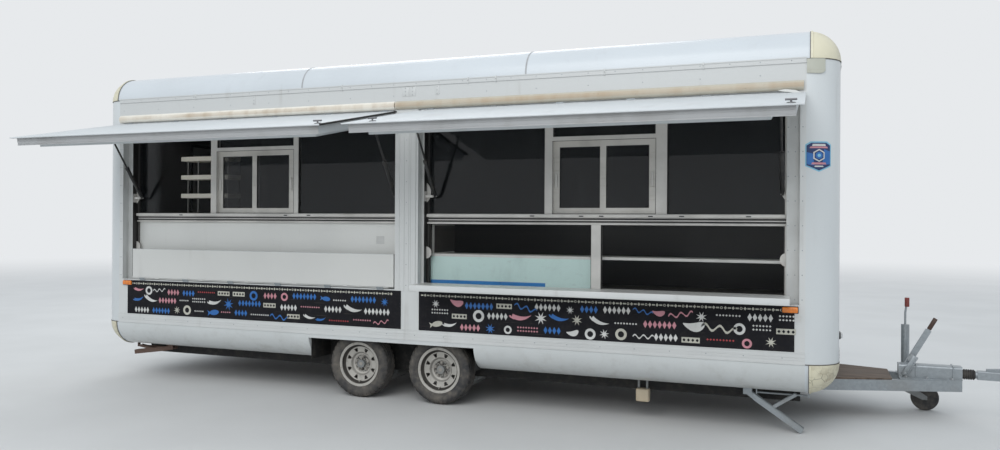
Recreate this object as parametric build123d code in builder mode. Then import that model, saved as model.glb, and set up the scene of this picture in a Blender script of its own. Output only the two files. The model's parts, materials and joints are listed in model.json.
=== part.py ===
"""Food trailer: a tandem-axle catering trailer with two top-hung serving hatches.

Millimetres.  +X points to the drawbar, -Y to the serving side and +Z up.  The origin lies on the
ground under the middle of the overall box, with the hatches open.  All sizes below are measured
from the trailer's own datum: the ground under the middle of the body.
"""

import os
from math import asin, atan2, cos, degrees, hypot, radians, sin, sqrt

from build123d import *

os.makedirs("parts", exist_ok=True)

# Body shell
body_length = 6376
body_width = 2300
body_height = 2478
body_bottom = 299
roll_radius = 216
wall = 40
moulding_base = 3
moulding_rib = 3
rib_width = 6
half_length = body_length / 2
half_width = body_width / 2
body_top = body_bottom + body_height
seam_x = half_length - roll_radius
seam_y = half_width - roll_radius
seam_low = body_bottom + roll_radius
seam_high = body_top - roll_radius
serving_face = -half_width

# Serving bays: name, rebate from and to, opening from and to, sliding unit from and to,
# mullion before and after the sliding unit, middle post of the lower part or None
bays = [
    ("rear", -2930, -105, -2882, -125, -1969, -1157, 66, 48, None),
    ("front", 100, 2934, 120, 2849, 1173, 1950, 64, 83, (1475, 1547)),
]
# Mouldings over the joints of panel and roll: height from and to, rib heights
rail_top = seam_low + 85
board_gauge = 4
board_top = 905
mouldings = [
    (seam_low, rail_top, (seam_low + 5, seam_low + 33, seam_low + 52, seam_low + 80)),
    (seam_high - 31, seam_high + 9, (seam_high - 26, seam_high + 4)),
]
pillar_x = (-70, 82)
pillar_z = (board_top, 2320)
pillar_ribs = (-65, -22, 18, 34, 77)

bay_sill = 915
bay_head = 2345
rebate_depth = 67
rebate_step = 20
frame_depth = 125
frame_thickness = 50
frame_edge = 12
sill_rail = (1440, 1521)
transom = (2073, 2105)
sash_stile = 46
sash_thickness = 20
glass_thickness = 6
lining_margin = 30

# Hatches, drawn level and then turned down by their drop
hatch_hinge_depth = -10
hatch_hinge_z = 2336
hatch_reach = 1137
hatch_drop = 11.7
hatch_skin = 4
hatch_frame_depth = 68
hatch_lining_depth = 90
hatch_recess_depth = 36
hatch_recess_reach = (146, 304)
skin_lip = 35
hatch_root = 14
hatch_closing = 90 - hatch_drop

# Turn handles of the hatches: places along the skin's length from each end, and from its free edge
hatch_spans = {"rear": (-2958, -77), "front": (89, 2970)}
handle_places = {"rear": (-147,), "front": (279, 2900)}
handle_inset = 90
handle_height = 26

# Gas struts: how far they stand inside the low and the high end of the opening
strut_insets = (85, 27)
strut_pin_reach = 275
strut_pin_drop = 108
strut_foot_depth = 95
strut_foot_z = 1660
barrel_radius = 11
rod_radius = 8
barrel_length = 330
collar_radius = 13.5
collar_length = 20
eye_radius = 10
eye_half = 8

# Flaps under the hatches
flap_hinge_depth = -8
flap_hinge_z = 925
flap_height = 262
flap_thickness = 45
flap_spans = {"rear": (-2810, -115), "front": (165, 2880)}

hinge_pin_radius = 3
hinge_eye_radius = 6
pin_clearance = 0.25
hinge_eye_length = 60

# Wheels and axles
wheel_radius = 272
wheel_x = (-490, 238)
tyre_width = 165
tyre_face_depth = 92
bead_radius = 165
flange_radius = 182.5
rim_half_width = 68
rim_gauge = 4
bolt_circle = 56
hub_bore = 33
arch = (wheel_x[0] - wheel_radius - 150, wheel_x[1] + wheel_radius + 70)
arch_top = seam_low - 31
wheel_box_top = 2 * wheel_radius + 96
wheel_box_depth = 345
axle_tube_radius = 45
axle_tube_z = 150
arm_length = 150

# Chassis and drawbar
rail_y = 782
rail_width = 45
rail_height = 100
rail_reach = half_length - 248
cross_x = (308 - half_length, -2000, -1150, 820, 1900, half_length - 308)
arm_root = (half_length - 1228, 737)
arm_tip = (half_length + 872, 62)
drawbar_width = 50
drawbar_height = 82
housing = (half_length + 445, half_length + 874)
housing_width = 110
coupling_z = 340
ball_radius = 25
ball_x = half_length + 1232
coupling_tip = ball_x + 58

# Corner steadies: pivot x, side of y, way they point in x, angle below level at rest
steady_pivot_z = body_bottom - 37
steady_x = half_length - 598
steady_y = 880
steady_leg = 440
steady_arm = 190
steady_web = 22
steady_folded = 8
steady_lowered = degrees(asin(steady_pivot_z / hypot(steady_leg, steady_web)) - atan2(steady_web, steady_leg))
steady_rows = [
    ("front_right", steady_x, -1, 1, steady_lowered),
    ("front_left", steady_x, 1, 1, steady_lowered),
    ("rear_right", -steady_x, -1, -1, steady_folded),
    ("rear_left", -steady_x, 1, -1, steady_folded),
]

marker_x = (-2861, 2877)
marker_z = (862, 902)

# Entry door in the rear wall
door_y = (-20, 760)
door_top = 2250
door_gap = 5
handle_reach = 50
marker_depth = 22

# Where the datum lies in the part's own frame
hatch_overhang = hatch_reach * cos(radians(hatch_drop)) - hatch_hinge_depth
datum_x = -(coupling_tip - half_length - handle_reach) / 2
datum_y = (hatch_overhang - marker_depth) / 2
trailer = Plane(origin=(datum_x, datum_y, 0))


def across(x):
    """The plane across the trailer at a station x: its own x is the trailer's y, its y is up."""
    return Plane(origin=(datum_x + x, datum_y, 0), x_dir=(0, 1, 0), z_dir=(1, 0, 0))


def along(y):
    """The plane along the trailer at y, seen from the serving side."""
    return Plane(origin=(datum_x, datum_y + y, 0), x_dir=(1, 0, 0), z_dir=(0, -1, 0))


def level(z):
    """The level plane at height z, seen from above."""
    return Plane(origin=(datum_x, datum_y, z), x_dir=(1, 0, 0), z_dir=(0, 0, 1))


def line_along_x(y, z):
    """The axis along the trailer through y, z."""
    return Axis((datum_x, datum_y + y, z), (1, 0, 0))


def block(x, y, z, mode=Mode.ADD):
    """Add a box to the open part from its low and high x, y and z."""
    middle = tuple((low + high) / 2 for low, high in (x, y, z))
    with Locations(middle):
        Box(x[1] - x[0], y[1] - y[0], z[1] - z[0], mode=mode)


def rod(start, end, radius, mode=Mode.ADD):
    """Add a round bar to the open part between two points of the trailer."""
    run = Vector(*end) - Vector(*start)
    foot = Plane(origin=start, z_dir=run)
    with Locations(foot.location):
        Cylinder(radius, run.length, align=(Align.CENTER, Align.CENTER, Align.MIN), mode=mode)


def quarter_ring(plane, centre, start, inner_radius=roll_radius - wall):
    """A quarter of a ring on a plane, from the angle start: the section of a corner roll."""
    with BuildSketch(plane) as section:
        with BuildLine():
            outside = CenterArc(centre, roll_radius, start, 90)
            inside = CenterArc(centre, inner_radius, start, 90)
            Line(outside @ 0, inside @ 0)
            Line(outside @ 1, inside @ 1)
        make_face()
    return section.sketch


def export(piece, name):
    """Label a finished piece and write its file."""
    piece.label = name
    export_step(piece, f"parts/{name}.step")


# Side and end rolls of the roof and the floor: centre height, start angles at -Y and at +Y
with BuildPart() as roof_edges:
    for y, start in ((-seam_y, 90), (seam_y, 0)):
        extrude(quarter_ring(across(-seam_x), (y, seam_high), start), amount=2 * seam_x)
    for x, start in ((-seam_x, 90), (seam_x, 0)):
        extrude(quarter_ring(along(seam_y), (x, seam_high), start), amount=2 * seam_y)
export(roof_edges.part, "roof_edges")

with BuildPart(trailer) as floor_edges:
    for y, start in ((-seam_y, 180), (seam_y, 270)):
        extrude(quarter_ring(across(-seam_x), (y, seam_low), start), amount=2 * seam_x)
    for x, start in ((-seam_x, 180), (seam_x, 270)):
        extrude(quarter_ring(along(seam_y), (x, seam_low), start), amount=2 * seam_y)
    for side in (-1, 1):
        y = sorted((side * (half_width + 1), side * (seam_y - 1)))
        block(arch, y, (body_bottom - 1, arch_top), mode=Mode.SUBTRACT)
export(floor_edges.part, "floor_edges")

with BuildPart() as corner_posts:
    for x, y, start in ((-seam_x, -seam_y, 180), (seam_x, -seam_y, 270), (seam_x, seam_y, 0), (-seam_x, seam_y, 90)):
        extrude(quarter_ring(level(seam_low), (x, y), start), amount=seam_high - seam_low)
export(corner_posts.part, "corner_posts")

# Eight corner caps, each an eighth of a sphere
with BuildPart() as corner_caps:
    for z, start in ((seam_high, 0), (seam_low, 270)):
        for x, y, turn in ((seam_x, seam_y, 0), (-seam_x, seam_y, 90), (-seam_x, -seam_y, 180), (seam_x, -seam_y, 270)):
            facing = Plane(
                origin=(datum_x + x, datum_y + y, z),
                x_dir=(cos(radians(turn)), sin(radians(turn)), 0),
                z_dir=(sin(radians(turn)), -cos(radians(turn)), 0),
            )
            pole = Axis((datum_x + x, datum_y + y, z), (0, 0, 1))
            revolve(quarter_ring(facing, (0, 0), start), axis=pole, revolution_arc=90)
export(corner_caps.part, "corner_caps")

with BuildPart(trailer) as roof_panel:
    block((-seam_x, seam_x), (-seam_y, seam_y), (body_top - wall, body_top))
export(roof_panel.part, "roof_panel")

with BuildPart(trailer) as floor_panel:
    block((-seam_x, seam_x), (-seam_y, seam_y), (body_bottom, body_bottom + wall))
    for side in (-1, 1):
        y = sorted((side * (seam_y + 1), side * (half_width - wheel_box_depth)))
        block(arch, y, (body_bottom - 1, body_bottom + wall + 1), mode=Mode.SUBTRACT)
export(floor_panel.part, "floor_panel")

# The walls without openings: the front end and the far side
with BuildPart(trailer) as plain_walls:
    block((half_length - wall, half_length), (-seam_y, seam_y), (seam_low, seam_high))
    block((-seam_x, seam_x), (half_width - wall, half_width), (seam_low, seam_high))
export(plain_walls.part, "plain_walls")

with BuildPart(trailer) as rear_wall:
    block((-half_length, wall - half_length), (-seam_y, seam_y), (seam_low, seam_high))
    block((-half_length - 1, wall - half_length + 1), door_y, (seam_low - 1, door_top), mode=Mode.SUBTRACT)
export(rear_wall.part, "rear_wall")

with BuildPart(trailer) as serving_wall:
    block((-seam_x, seam_x), (serving_face, serving_face + wall), (seam_low, seam_high))
    for name, rebate_0, rebate_1, *rest in bays:
        block((rebate_0, rebate_1), (serving_face - 1, serving_face + wall + 1), (bay_sill, bay_head), mode=Mode.SUBTRACT)
export(serving_wall.part, "serving_wall")

opening_z = (bay_sill + rebate_step, bay_head - rebate_step)
with BuildPart(trailer) as bay_linings:
    for name, rebate_0, rebate_1, open_0, open_1, *rest in bays:
        outer_x = (rebate_0 - lining_margin, rebate_1 + lining_margin)
        outer_z = (bay_sill - lining_margin, bay_head + lining_margin)
        back = serving_face + frame_depth + frame_thickness
        block(outer_x, (serving_face + wall, back), outer_z)
        block((rebate_0, rebate_1), (serving_face + wall - 1, serving_face + rebate_depth), (bay_sill, bay_head), mode=Mode.SUBTRACT)
        block((open_0, open_1), (serving_face, back + 1), opening_z, mode=Mode.SUBTRACT)
export(bay_linings.part, "bay_linings")

# Window frames, sashes and panes
with BuildPart(trailer) as window_frames:
    for name, _, _, open_0, open_1, slide_0, slide_1, before, after, post in bays:
        y = (serving_face + frame_depth, serving_face + frame_depth + frame_thickness)
        cut_y = (y[0] - 1, y[1] + 1)
        block((open_0, open_1), y, opening_z)
        upper = (sill_rail[1], opening_z[1] - frame_edge)
        block((open_0 + frame_edge, slide_0 - before), cut_y, upper, mode=Mode.SUBTRACT)
        block((slide_1 + after, open_1 - frame_edge), cut_y, upper, mode=Mode.SUBTRACT)
        block((slide_0, slide_1), cut_y, (sill_rail[1], transom[0]), mode=Mode.SUBTRACT)
        block((slide_0, slide_1), cut_y, (transom[1], upper[1]), mode=Mode.SUBTRACT)
        lower = (opening_z[0] + frame_edge, sill_rail[0])
        edges = (open_0 + frame_edge, *(post or ()), open_1 - frame_edge)
        for start, end in zip(edges[::2], edges[1::2]):
            block((start, end), cut_y, lower, mode=Mode.SUBTRACT)
export(window_frames.part, "window_frames")

rear_track = serving_face + frame_depth + frame_thickness - sash_thickness - 3
front_track = serving_face + frame_depth + 3
with BuildPart(trailer) as window_sashes:
    for name, _, _, _, _, slide_0, slide_1, *rest in bays:
        middle = (slide_0 + slide_1) / 2
        half = sash_stile / 2
        for x, y in (((slide_0, middle + half), rear_track), ((middle - half, slide_1), front_track)):
            block(x, (y, y + sash_thickness), (sill_rail[1], transom[0]))
            block(
                (x[0] + sash_stile, x[1] - sash_stile),
                (y - 1, y + sash_thickness + 1),
                (sill_rail[1] + sash_stile, transom[0] - sash_stile),
                mode=Mode.SUBTRACT,
            )
export(window_sashes.part, "window_sashes")

pane_y = serving_face + frame_depth + (frame_thickness - glass_thickness) / 2
with BuildPart(trailer) as window_glass:
    for name, _, _, open_0, open_1, slide_0, slide_1, before, after, post in bays:
        y = (pane_y, pane_y + glass_thickness)
        upper = (sill_rail[1], opening_z[1] - frame_edge)
        block((open_0 + frame_edge, slide_0 - before), y, upper)
        block((slide_1 + after, open_1 - frame_edge), y, upper)
        block((slide_0, slide_1), y, (transom[1], upper[1]))
        middle = (slide_0 + slide_1) / 2
        half = sash_stile / 2
        for x, track in (((slide_0, middle + half), rear_track), ((middle - half, slide_1), front_track)):
            depth = track + (sash_thickness - glass_thickness) / 2
            block(
                (x[0] + sash_stile, x[1] - sash_stile),
                (depth, depth + glass_thickness),
                (sill_rail[1] + sash_stile, transom[0] - sash_stile),
            )
        if post:
            lower = (opening_z[0] + frame_edge, sill_rail[0])
            block((open_0 + frame_edge, post[0]), y, lower)
            block((post[1], open_1 - frame_edge), y, lower)
export(window_glass.part, "window_glass")

with BuildPart(trailer) as infill_panel:
    open_0, open_1 = bays[0][3:5]
    block((open_0 + frame_edge, open_1 - frame_edge), (pane_y, pane_y + 12), (opening_z[0] + frame_edge, sill_rail[0]))
export(infill_panel.part, "infill_panel")

# Counter behind the windows with the display shelf, its back panel and the rack of short boards
counter_back = serving_face + 620
board_z = (1685, 1858, 2030)
board_x = (-2530, -1990)
board_y = (serving_face + 300, serving_face + 480)
board_thickness = 40
with BuildPart(trailer) as serving_counter:
    for name, _, _, open_0, open_1, *rest in bays:
        y = (serving_face + frame_depth + frame_thickness, counter_back)
        block((open_0, open_1), y, (sill_rail[0] + 10, sill_rail[0] + 35))
        for end in (open_0, open_1 - 20):
            foot = wheel_box_top if arch[0] < end < arch[1] else body_bottom + wall
            block((end, end + 20), (-seam_y, y[1]), (foot, sill_rail[0] + 12))
        if name == "front":
            block((open_0, open_1), (y[0] + 8, y[1] - 200), (1180, 1200))
            block((open_0, 1511), (y[0] + 8, y[0] + 20), (960, 1182))
            block((open_0, open_1), (y[0] + 8, y[1]), (940, 962))
        else:
            block((open_0, open_1), (y[0] + 8, y[1]), (900, 922))
    for z in board_z:
        block(board_x, board_y, (z - board_thickness / 2, z + board_thickness / 2))
    for x in (board_x[0] + 60, board_x[0] + 180, board_x[1] - 20):
        rod((x, board_y[0] + 25, sill_rail[0] + 30), (x, board_y[0] + 25, board_z[-1]), 5)
export(serving_counter.part, "serving_counter")


def moulding_section(plane, face, height, ribs):
    """The section of a joint moulding on a wall face: a flat strip with ribs that stand outward."""
    side = 1 if face > 0 else -1
    low, high = height
    with BuildSketch(plane) as section:
        with Locations((face + side * moulding_base / 2, (low + high) / 2)):
            Rectangle(moulding_base, high - low)
        for rib in ribs:
            with Locations((face + side * (moulding_base + moulding_rib) / 2, rib)):
                Rectangle(moulding_base + moulding_rib, rib_width)
    return section.sketch


with BuildPart() as body_mouldings:
    for low, high, ribs in mouldings:
        for face in (-half_width, half_width):
            extrude(moulding_section(across(-seam_x), face, (low, high), ribs), amount=2 * seam_x)
        for face in (-half_length, half_length):
            extrude(moulding_section(along(seam_y), face, (low, high), ribs), amount=2 * seam_y)
with BuildPart(trailer) as moulding_trim:
    doorway = (door_y[0] - 5, door_y[1] + 55)
    block((-half_length - 9, -half_length), doorway, (mouldings[0][0] - 1, mouldings[0][1] + 1))
with BuildPart(trailer) as pillar:
    block(pillar_x, (serving_face - moulding_base, serving_face), pillar_z)
    for x in pillar_ribs:
        rib = (x - rib_width / 2, x + rib_width / 2)
        block(rib, (serving_face - moulding_base - moulding_rib, serving_face - moulding_base), pillar_z)
export(body_mouldings.part - moulding_trim.part + pillar.part, "body_mouldings")

# Curved covers over the hatch hinges
cover_strip_z = (2350, 2416)
cover_strip_reach = 24
with BuildPart() as hinge_covers:
    for x0, x1 in ((-2960, -108), (-100, 2956)):
        with BuildSketch(across(x0)):
            with BuildLine():
                low, high = cover_strip_z
                foot = Line((serving_face, high), (serving_face, low))
                lip = Line(foot @ 1, (serving_face - 8, low))
                top = ThreePointArc(lip @ 1, (serving_face - cover_strip_reach, low + 30), (serving_face - 3, high))
                Line(top @ 1, foot @ 0)
            make_face()
        extrude(amount=x1 - x0)
export(hinge_covers.part, "hinge_covers")

with BuildPart(trailer) as sign_boards:
    for x in ((-2865, -46), (114, 2905)):
        block(x, (serving_face - board_gauge, serving_face), (rail_top, board_top))
    for x in marker_x:
        block((x - 50, x + 50), (serving_face - 5, serving_face + 1), marker_z, mode=Mode.SUBTRACT)
export(sign_boards.part, "sign_boards")

# Hinge eyes of the hatches and flaps, seated on the wall face
hatch_axis = (serving_face + hatch_hinge_depth, hatch_hinge_z)
flap_axis = (serving_face + flap_hinge_depth, flap_hinge_z)
door_axis = (-half_length - 12, door_y[1] + 5)
door_hinge_z = (700, 1400, 2100)


def eye_places(span, count):
    """Evenly spaced eyes along a hinge, clear of its ends."""
    margin = 120
    step = (span[1] - span[0] - 2 * margin) / (count - 1)
    return [span[0] + margin + i * step for i in range(count)]


with BuildPart(trailer) as hinge_eyes:
    for spans, (y, z), leaf in ((hatch_spans, hatch_axis, (0, 13)), (flap_spans, flap_axis, (-19, 0))):
        for span in spans.values():
            for x in eye_places(span, 6):
                ends = (x - hinge_eye_length / 2, x + hinge_eye_length / 2)
                rod((ends[0], y, z), (ends[1], y, z), hinge_eye_radius)
                block(ends, (serving_face - 4, serving_face), (z + leaf[0], z + leaf[1]))
                block(ends, (y, serving_face), (z - 3, z + 3))
                bore = hinge_pin_radius + pin_clearance
                rod((ends[0] - 1, y, z), (ends[1] + 1, y, z), bore, mode=Mode.SUBTRACT)
    x, y = door_axis
    for z in door_hinge_z:
        rod((x, y, z - 30), (x, y, z + 30), 10)
        block((-half_length - 4, -half_length), (y, y + 50), (z - 30, z + 30))
        block((x, -half_length), (y, y + 8), (z - 30, z + 30))
        rod((x, y, z - 31), (x, y, z + 31), 5 + pin_clearance, mode=Mode.SUBTRACT)
export(hinge_eyes.part, "hinge_eyes")


def hatch(name):
    """One hatch as it stands open: skin, frame, inner lining, hinge pin, lugs and strut pins."""
    span = hatch_spans[name]
    open_0, open_1 = next(row[3:5] for row in bays if row[0] == name)
    y, z = hatch_axis
    with BuildPart(trailer) as piece:
        block(span, (y - hatch_reach, y - hatch_root), (z - hatch_skin, z))
        frame_x = (span[0] + skin_lip, min(span[1] - skin_lip, 2927))
        block(frame_x, (y - hatch_reach + skin_lip, y - hatch_root), (z - hatch_frame_depth, z - hatch_skin))
        block(
            (open_0 + strut_insets[0] + 27, open_1 - strut_insets[1] - 27),
            (y - hatch_reach + 3 * skin_lip, y - 3 * hatch_root),
            (z - hatch_lining_depth, z - hatch_frame_depth),
        )
        rod((span[0] + 40, y, z), (span[1] - 40, y, z), hinge_pin_radius)
        for x in eye_places(span, 6)[:-1]:
            block((x + 150, x + 190), (y - hatch_root - 4, y + 2), (z - hatch_skin, z))
        for x, way in ((open_0 + strut_insets[0], 1), (open_1 - strut_insets[1], -1)):
            pin = (x, y - strut_pin_reach, z - strut_pin_drop)
            recess = sorted((x - way * 15, x + way * 13))
            recess_y = (y - hatch_recess_reach[1], y - hatch_recess_reach[0])
            block(recess, recess_y, (z - hatch_frame_depth - 1, z - hatch_recess_depth), mode=Mode.SUBTRACT)
            rod((x + way * (eye_half + 0.5), *pin[1:]), (x + way * 16, *pin[1:]), 4)
            block(sorted((x + way * 13, x + way * 17)), (pin[1] - 12, pin[1] + 12), (pin[2] - 8, z - hatch_frame_depth))
        for x in handle_places[name]:
            foot = (x, y - hatch_reach + handle_inset)
            rod((*foot, z - 1), (*foot, z + 5), 20)
            rod((*foot, z), (*foot, z + handle_height - 4), 6)
            rod((x - 32, foot[1], z + handle_height - 6), (x + 32, foot[1], z + handle_height - 6), 6)
    return piece.part.rotate(line_along_x(y, z), hatch_drop)


for name in hatch_spans:
    export(hatch(name), f"{name}_hatch")

# Gas struts, drawn in their own plane: foot on the jamb, eye under the hatch
drop = radians(hatch_drop)
strut_eye = (
    hatch_axis[0] - strut_pin_reach * cos(drop) + strut_pin_drop * sin(drop),
    hatch_axis[1] - strut_pin_reach * sin(drop) - strut_pin_drop * cos(drop),
)
strut_foot = (serving_face + strut_foot_depth, strut_foot_z)
strut_run = (strut_eye[0] - strut_foot[0], strut_eye[1] - strut_foot[1])
strut_length = hypot(*strut_run)
strut_unit = (strut_run[0] / strut_length, strut_run[1] / strut_length)


def on_strut(x, distance):
    """A point on a strut's line at a distance from its foot."""
    return (x, strut_foot[0] + strut_unit[0] * distance, strut_foot[1] + strut_unit[1] * distance)


for name, _, _, open_0, open_1, *rest in bays:
    with BuildPart(trailer) as barrels:
        for x in (open_0 + strut_insets[0], open_1 - strut_insets[1]):
            foot = on_strut(x, 0)
            rod((x - eye_half, *foot[1:]), (x + eye_half, *foot[1:]), eye_radius)
            rod(on_strut(x, 4), on_strut(x, barrel_length), barrel_radius)
            rod(on_strut(x, barrel_length - collar_length), on_strut(x, barrel_length), collar_radius)
            rod((x - barrel_radius - 1, *foot[1:]), (x + barrel_radius + 1, *foot[1:]), 4.5, mode=Mode.SUBTRACT)
            rod(on_strut(x, 30), on_strut(x, barrel_length + 1), rod_radius + pin_clearance, mode=Mode.SUBTRACT)
    export(barrels.part, f"{name}_strut_barrels")
    with BuildPart(trailer) as rods:
        for x in (open_0 + strut_insets[0], open_1 - strut_insets[1]):
            eye = on_strut(x, strut_length)
            rod((x - eye_half, *eye[1:]), (x + eye_half, *eye[1:]), eye_radius)
            rod(on_strut(x, barrel_length - 25), on_strut(x, strut_length - 5), rod_radius)
    export(rods.part, f"{name}_strut_rods")

# Brackets of the struts on the jambs, each with its round cover plate, and the plain plates lower down:
# height, radius, how far the plate stands out of the jamb
cover_plates = [(strut_foot_z + 30, 99, 38), (1210, 48, 44)]
cover_depth = 115
with BuildPart(trailer) as strut_brackets:
    for name, _, _, open_0, open_1, *rest in bays:
        for jamb, way, inset in ((open_0, 1, strut_insets[0]), (open_1, -1, strut_insets[1])):
            for z, radius, reach in cover_plates:
                centre = (jamb + way * (reach - radius), serving_face + cover_depth, z)
                rod(centre, (centre[0], centre[1] + 3, z), radius)
                behind = sorted((jamb, jamb - way * 2 * radius))
                block(behind, (centre[1] - 1, centre[1] + 4), (z - radius - 1, z + radius + 1), mode=Mode.SUBTRACT)
            y, z = strut_foot
            block(sorted((jamb, jamb + way * 4)), (y - 20, serving_face + cover_depth), (z - 40, z + 40))
            rod((jamb, y, z), (jamb + way * (inset + 12), y, z), 4)
            if inset > 40:
                block((jamb, jamb + inset - 20), (y - 10, y + 10), (z - 10, z + 10))
export(strut_brackets.part, "strut_brackets")


def flap(name):
    """One flap as it stands folded up, with its hinge pin and lugs."""
    span = flap_spans[name]
    y, z = flap_axis
    with BuildPart(trailer) as piece:
        block(span, (serving_face, serving_face + flap_thickness), (z + 5, z + flap_height + 5))
        rod((span[0] + 40, y, z), (span[1] - 40, y, z), hinge_pin_radius)
        for x in eye_places(span, 6)[:-1]:
            block((x + 150, x + 190), (y - 2, serving_face + 3), (z - 2, z + 8))
    return piece.part


export(flap("rear"), "rear_flap")
export(flap("front").rotate(line_along_x(*flap_axis), 90), "front_flap")

# Entry door
with BuildPart(trailer) as entry_door:
    block(
        (-half_length, wall - half_length),
        (door_y[0] + door_gap, door_y[1] - door_gap),
        (seam_low + door_gap, door_top - door_gap),
    )
    x, y = door_axis
    for z in door_hinge_z:
        rod((x, y, z - 70), (x, y, z + 70), 5)
        block((x - 3, -half_length), (y - 20, y), (z + 35, z + 65))
        block((x - 3, -half_length), (y - 20, y), (z - 65, z - 35))
    handle_y = (door_y[0] + 50, door_y[0] + 66)
    block((-half_length - handle_reach, -half_length), handle_y, (1250, 1270))
    block((-half_length - handle_reach, -half_length), handle_y, (1400, 1420))
    block((-half_length - handle_reach, -half_length - handle_reach + 14), handle_y, (1250, 1420))
export(entry_door.part, "entry_door")

# Wheel boxes over the arches, open below and to the outside
with BuildPart(trailer) as wheel_boxes:
    sheet = 4
    for side in (-1, 1):
        outer = sorted((side * (half_width - wall - 5), side * (half_width - wheel_box_depth)))
        block(arch, outer, (body_bottom, wheel_box_top))
        hollow = sorted((side * half_width, side * (half_width - wheel_box_depth + sheet)))
        inside = (arch[0] + sheet, arch[1] - sheet)
        block(inside, hollow, (body_bottom - 1, wheel_box_top - sheet), mode=Mode.SUBTRACT)
export(wheel_boxes.part, "wheel_boxes")

# Chassis
rail_z = (body_bottom - rail_height, body_bottom)
with BuildPart(trailer) as chassis_bars:
    for side in (-1, 1):
        y = sorted((side * rail_y, side * (rail_y - rail_width)))
        block((-rail_reach, rail_reach), y, rail_z)
        hollow = sorted((side * (rail_y - 5), side * (rail_y - rail_width - 1)))
        block((-rail_reach - 1, rail_reach + 1), hollow, (rail_z[0] + 5, rail_z[1] - 5), mode=Mode.SUBTRACT)
    for x in cross_x:
        block((x - 25, x + 25), (-rail_y + 5, rail_y - 5), (rail_z[0] + 40, rail_z[1] - 5))

arm_z = (body_bottom - 1 - drawbar_height, body_bottom - 1)
with BuildPart(trailer) as drawbar_arms:
    for side in (-1, 1):
        with BuildSketch(level(arm_z[0])):
            with BuildLine():
                root = (arm_root[0], side * arm_root[1])
                tip = (arm_tip[0], side * arm_tip[1])
                inner_root = (arm_root[0], side * (arm_root[1] - drawbar_width))
                inner_tip = (arm_tip[0], side * (arm_tip[1] - drawbar_width))
                Polyline(root, tip, inner_tip, inner_root, close=True)
            make_face()
        extrude(amount=arm_z[1] - arm_z[0])
export(drawbar_arms.part, "drawbar_arms")

with BuildPart() as chassis_frame:
    add(chassis_bars.part)
    add(drawbar_arms.part, mode=Mode.SUBTRACT)
export(chassis_frame.part, "chassis_frame")

# The board that lies on the drawbar arms, up to the body's lower roll, and tapers with them
deck_thickness = 12
deck_setback = 8
deck_root = seam_x + sqrt(roll_radius**2 - (seam_low - arm_z[1] - deck_thickness) ** 2) + 10
deck_tip = half_length + 387
arm_slope = (arm_root[1] - arm_tip[1]) / (arm_tip[0] - arm_root[0])
with BuildPart(trailer) as drawbar_deck:
    with BuildSketch(level(arm_z[1])):
        with BuildLine():
            root_y, tip_y = (arm_root[1] - (x - arm_root[0]) * arm_slope - deck_setback for x in (deck_root, deck_tip))
            Polyline((deck_root, -root_y), (deck_tip, -tip_y), (deck_tip, tip_y), (deck_root, root_y), close=True)
        make_face()
    extrude(amount=deck_thickness)
export(drawbar_deck.part, "drawbar_deck")

# Overrun housing on its base plate, with a rounded top and the damper's boss behind
housing_top = coupling_z + 57
base_plate = 8
with BuildPart(trailer) as overrun_housing:
    with BuildSketch(level(arm_z[1])):
        with BuildLine():
            Polyline(
                (housing[0], -185),
                (housing[1], -60),
                (housing[1], 60),
                (housing[0], 185),
                close=True,
            )
        make_face()
    extrude(amount=base_plate)
    with BuildSketch(across(housing[0])):
        with Locations((0, (arm_z[1] + housing_top) / 2)):
            RectangleRounded(housing_width, housing_top - arm_z[1], 18)
        with Locations((0, arm_z[1] + base_plate)):
            Rectangle(housing_width, 2 * base_plate)
    extrude(amount=housing[1] - housing[0])
    for x in (housing[0] + 120, housing[1] - 60):
        block((x - 4, x + 4), (-housing_width / 2 - 10, housing_width / 2 + 10), (arm_z[1], housing_top + 4))
    rod((housing[0] + 40, 0, coupling_z), (housing[1] + 1, 0, coupling_z), 25 + pin_clearance, mode=Mode.SUBTRACT)
export(overrun_housing.part, "overrun_housing")

bellows_folds = 6
bellows_pitch = 15
with BuildPart(trailer) as bellows:
    for fold in range(bellows_folds):
        x = housing[1] + fold * bellows_pitch
        rod((x, 0, coupling_z), (x + bellows_pitch / 2, 0, coupling_z), 38)
        rod((x, 0, coupling_z), (x + bellows_pitch, 0, coupling_z), 31)
    ends = (housing[1] - 1, housing[1] + bellows_folds * bellows_pitch + 1)
    rod((ends[0], 0, coupling_z), (ends[1], 0, coupling_z), 25, mode=Mode.SUBTRACT)
export(bellows.part, "bellows")

# Coupling head: a pressed cup on a tapering neck, with its handle on top and the towing shaft behind
neck_x = ball_x - 255
cup_height = 64
with BuildPart(trailer) as coupling_head:
    with BuildSketch(level(coupling_z - cup_height / 2)):
        with BuildLine():
            flank = Line((neck_x, 29), (ball_x - 30, 38))
            nose = ThreePointArc(flank @ 1, (coupling_tip, 0), (ball_x - 30, -38))
            Polyline(nose @ 1, (neck_x, -29), flank @ 0)
        make_face()
    extrude(amount=cup_height)
    fillet(coupling_head.faces().sort_by(Axis.Z)[-1].edges(), 9)
    rod((housing[0] + 60, 0, coupling_z), (neck_x + 1, 0, coupling_z), 25)
    rod((ball_x, 0, coupling_z - cup_height / 2 - 1), (ball_x, 0, coupling_z + 20), ball_radius, mode=Mode.SUBTRACT)
    with BuildSketch(along(14)):
        with BuildLine():
            Polyline(
                (neck_x + 60, coupling_z + 30),
                (neck_x + 60, coupling_z + 48),
                (ball_x - 90, coupling_z + 56),
                (ball_x + 10, coupling_z + 44),
                (ball_x + 10, coupling_z + 30),
                close=True,
            )
        make_face()
    extrude(amount=28)
export(coupling_head.part, "coupling_head")

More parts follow.
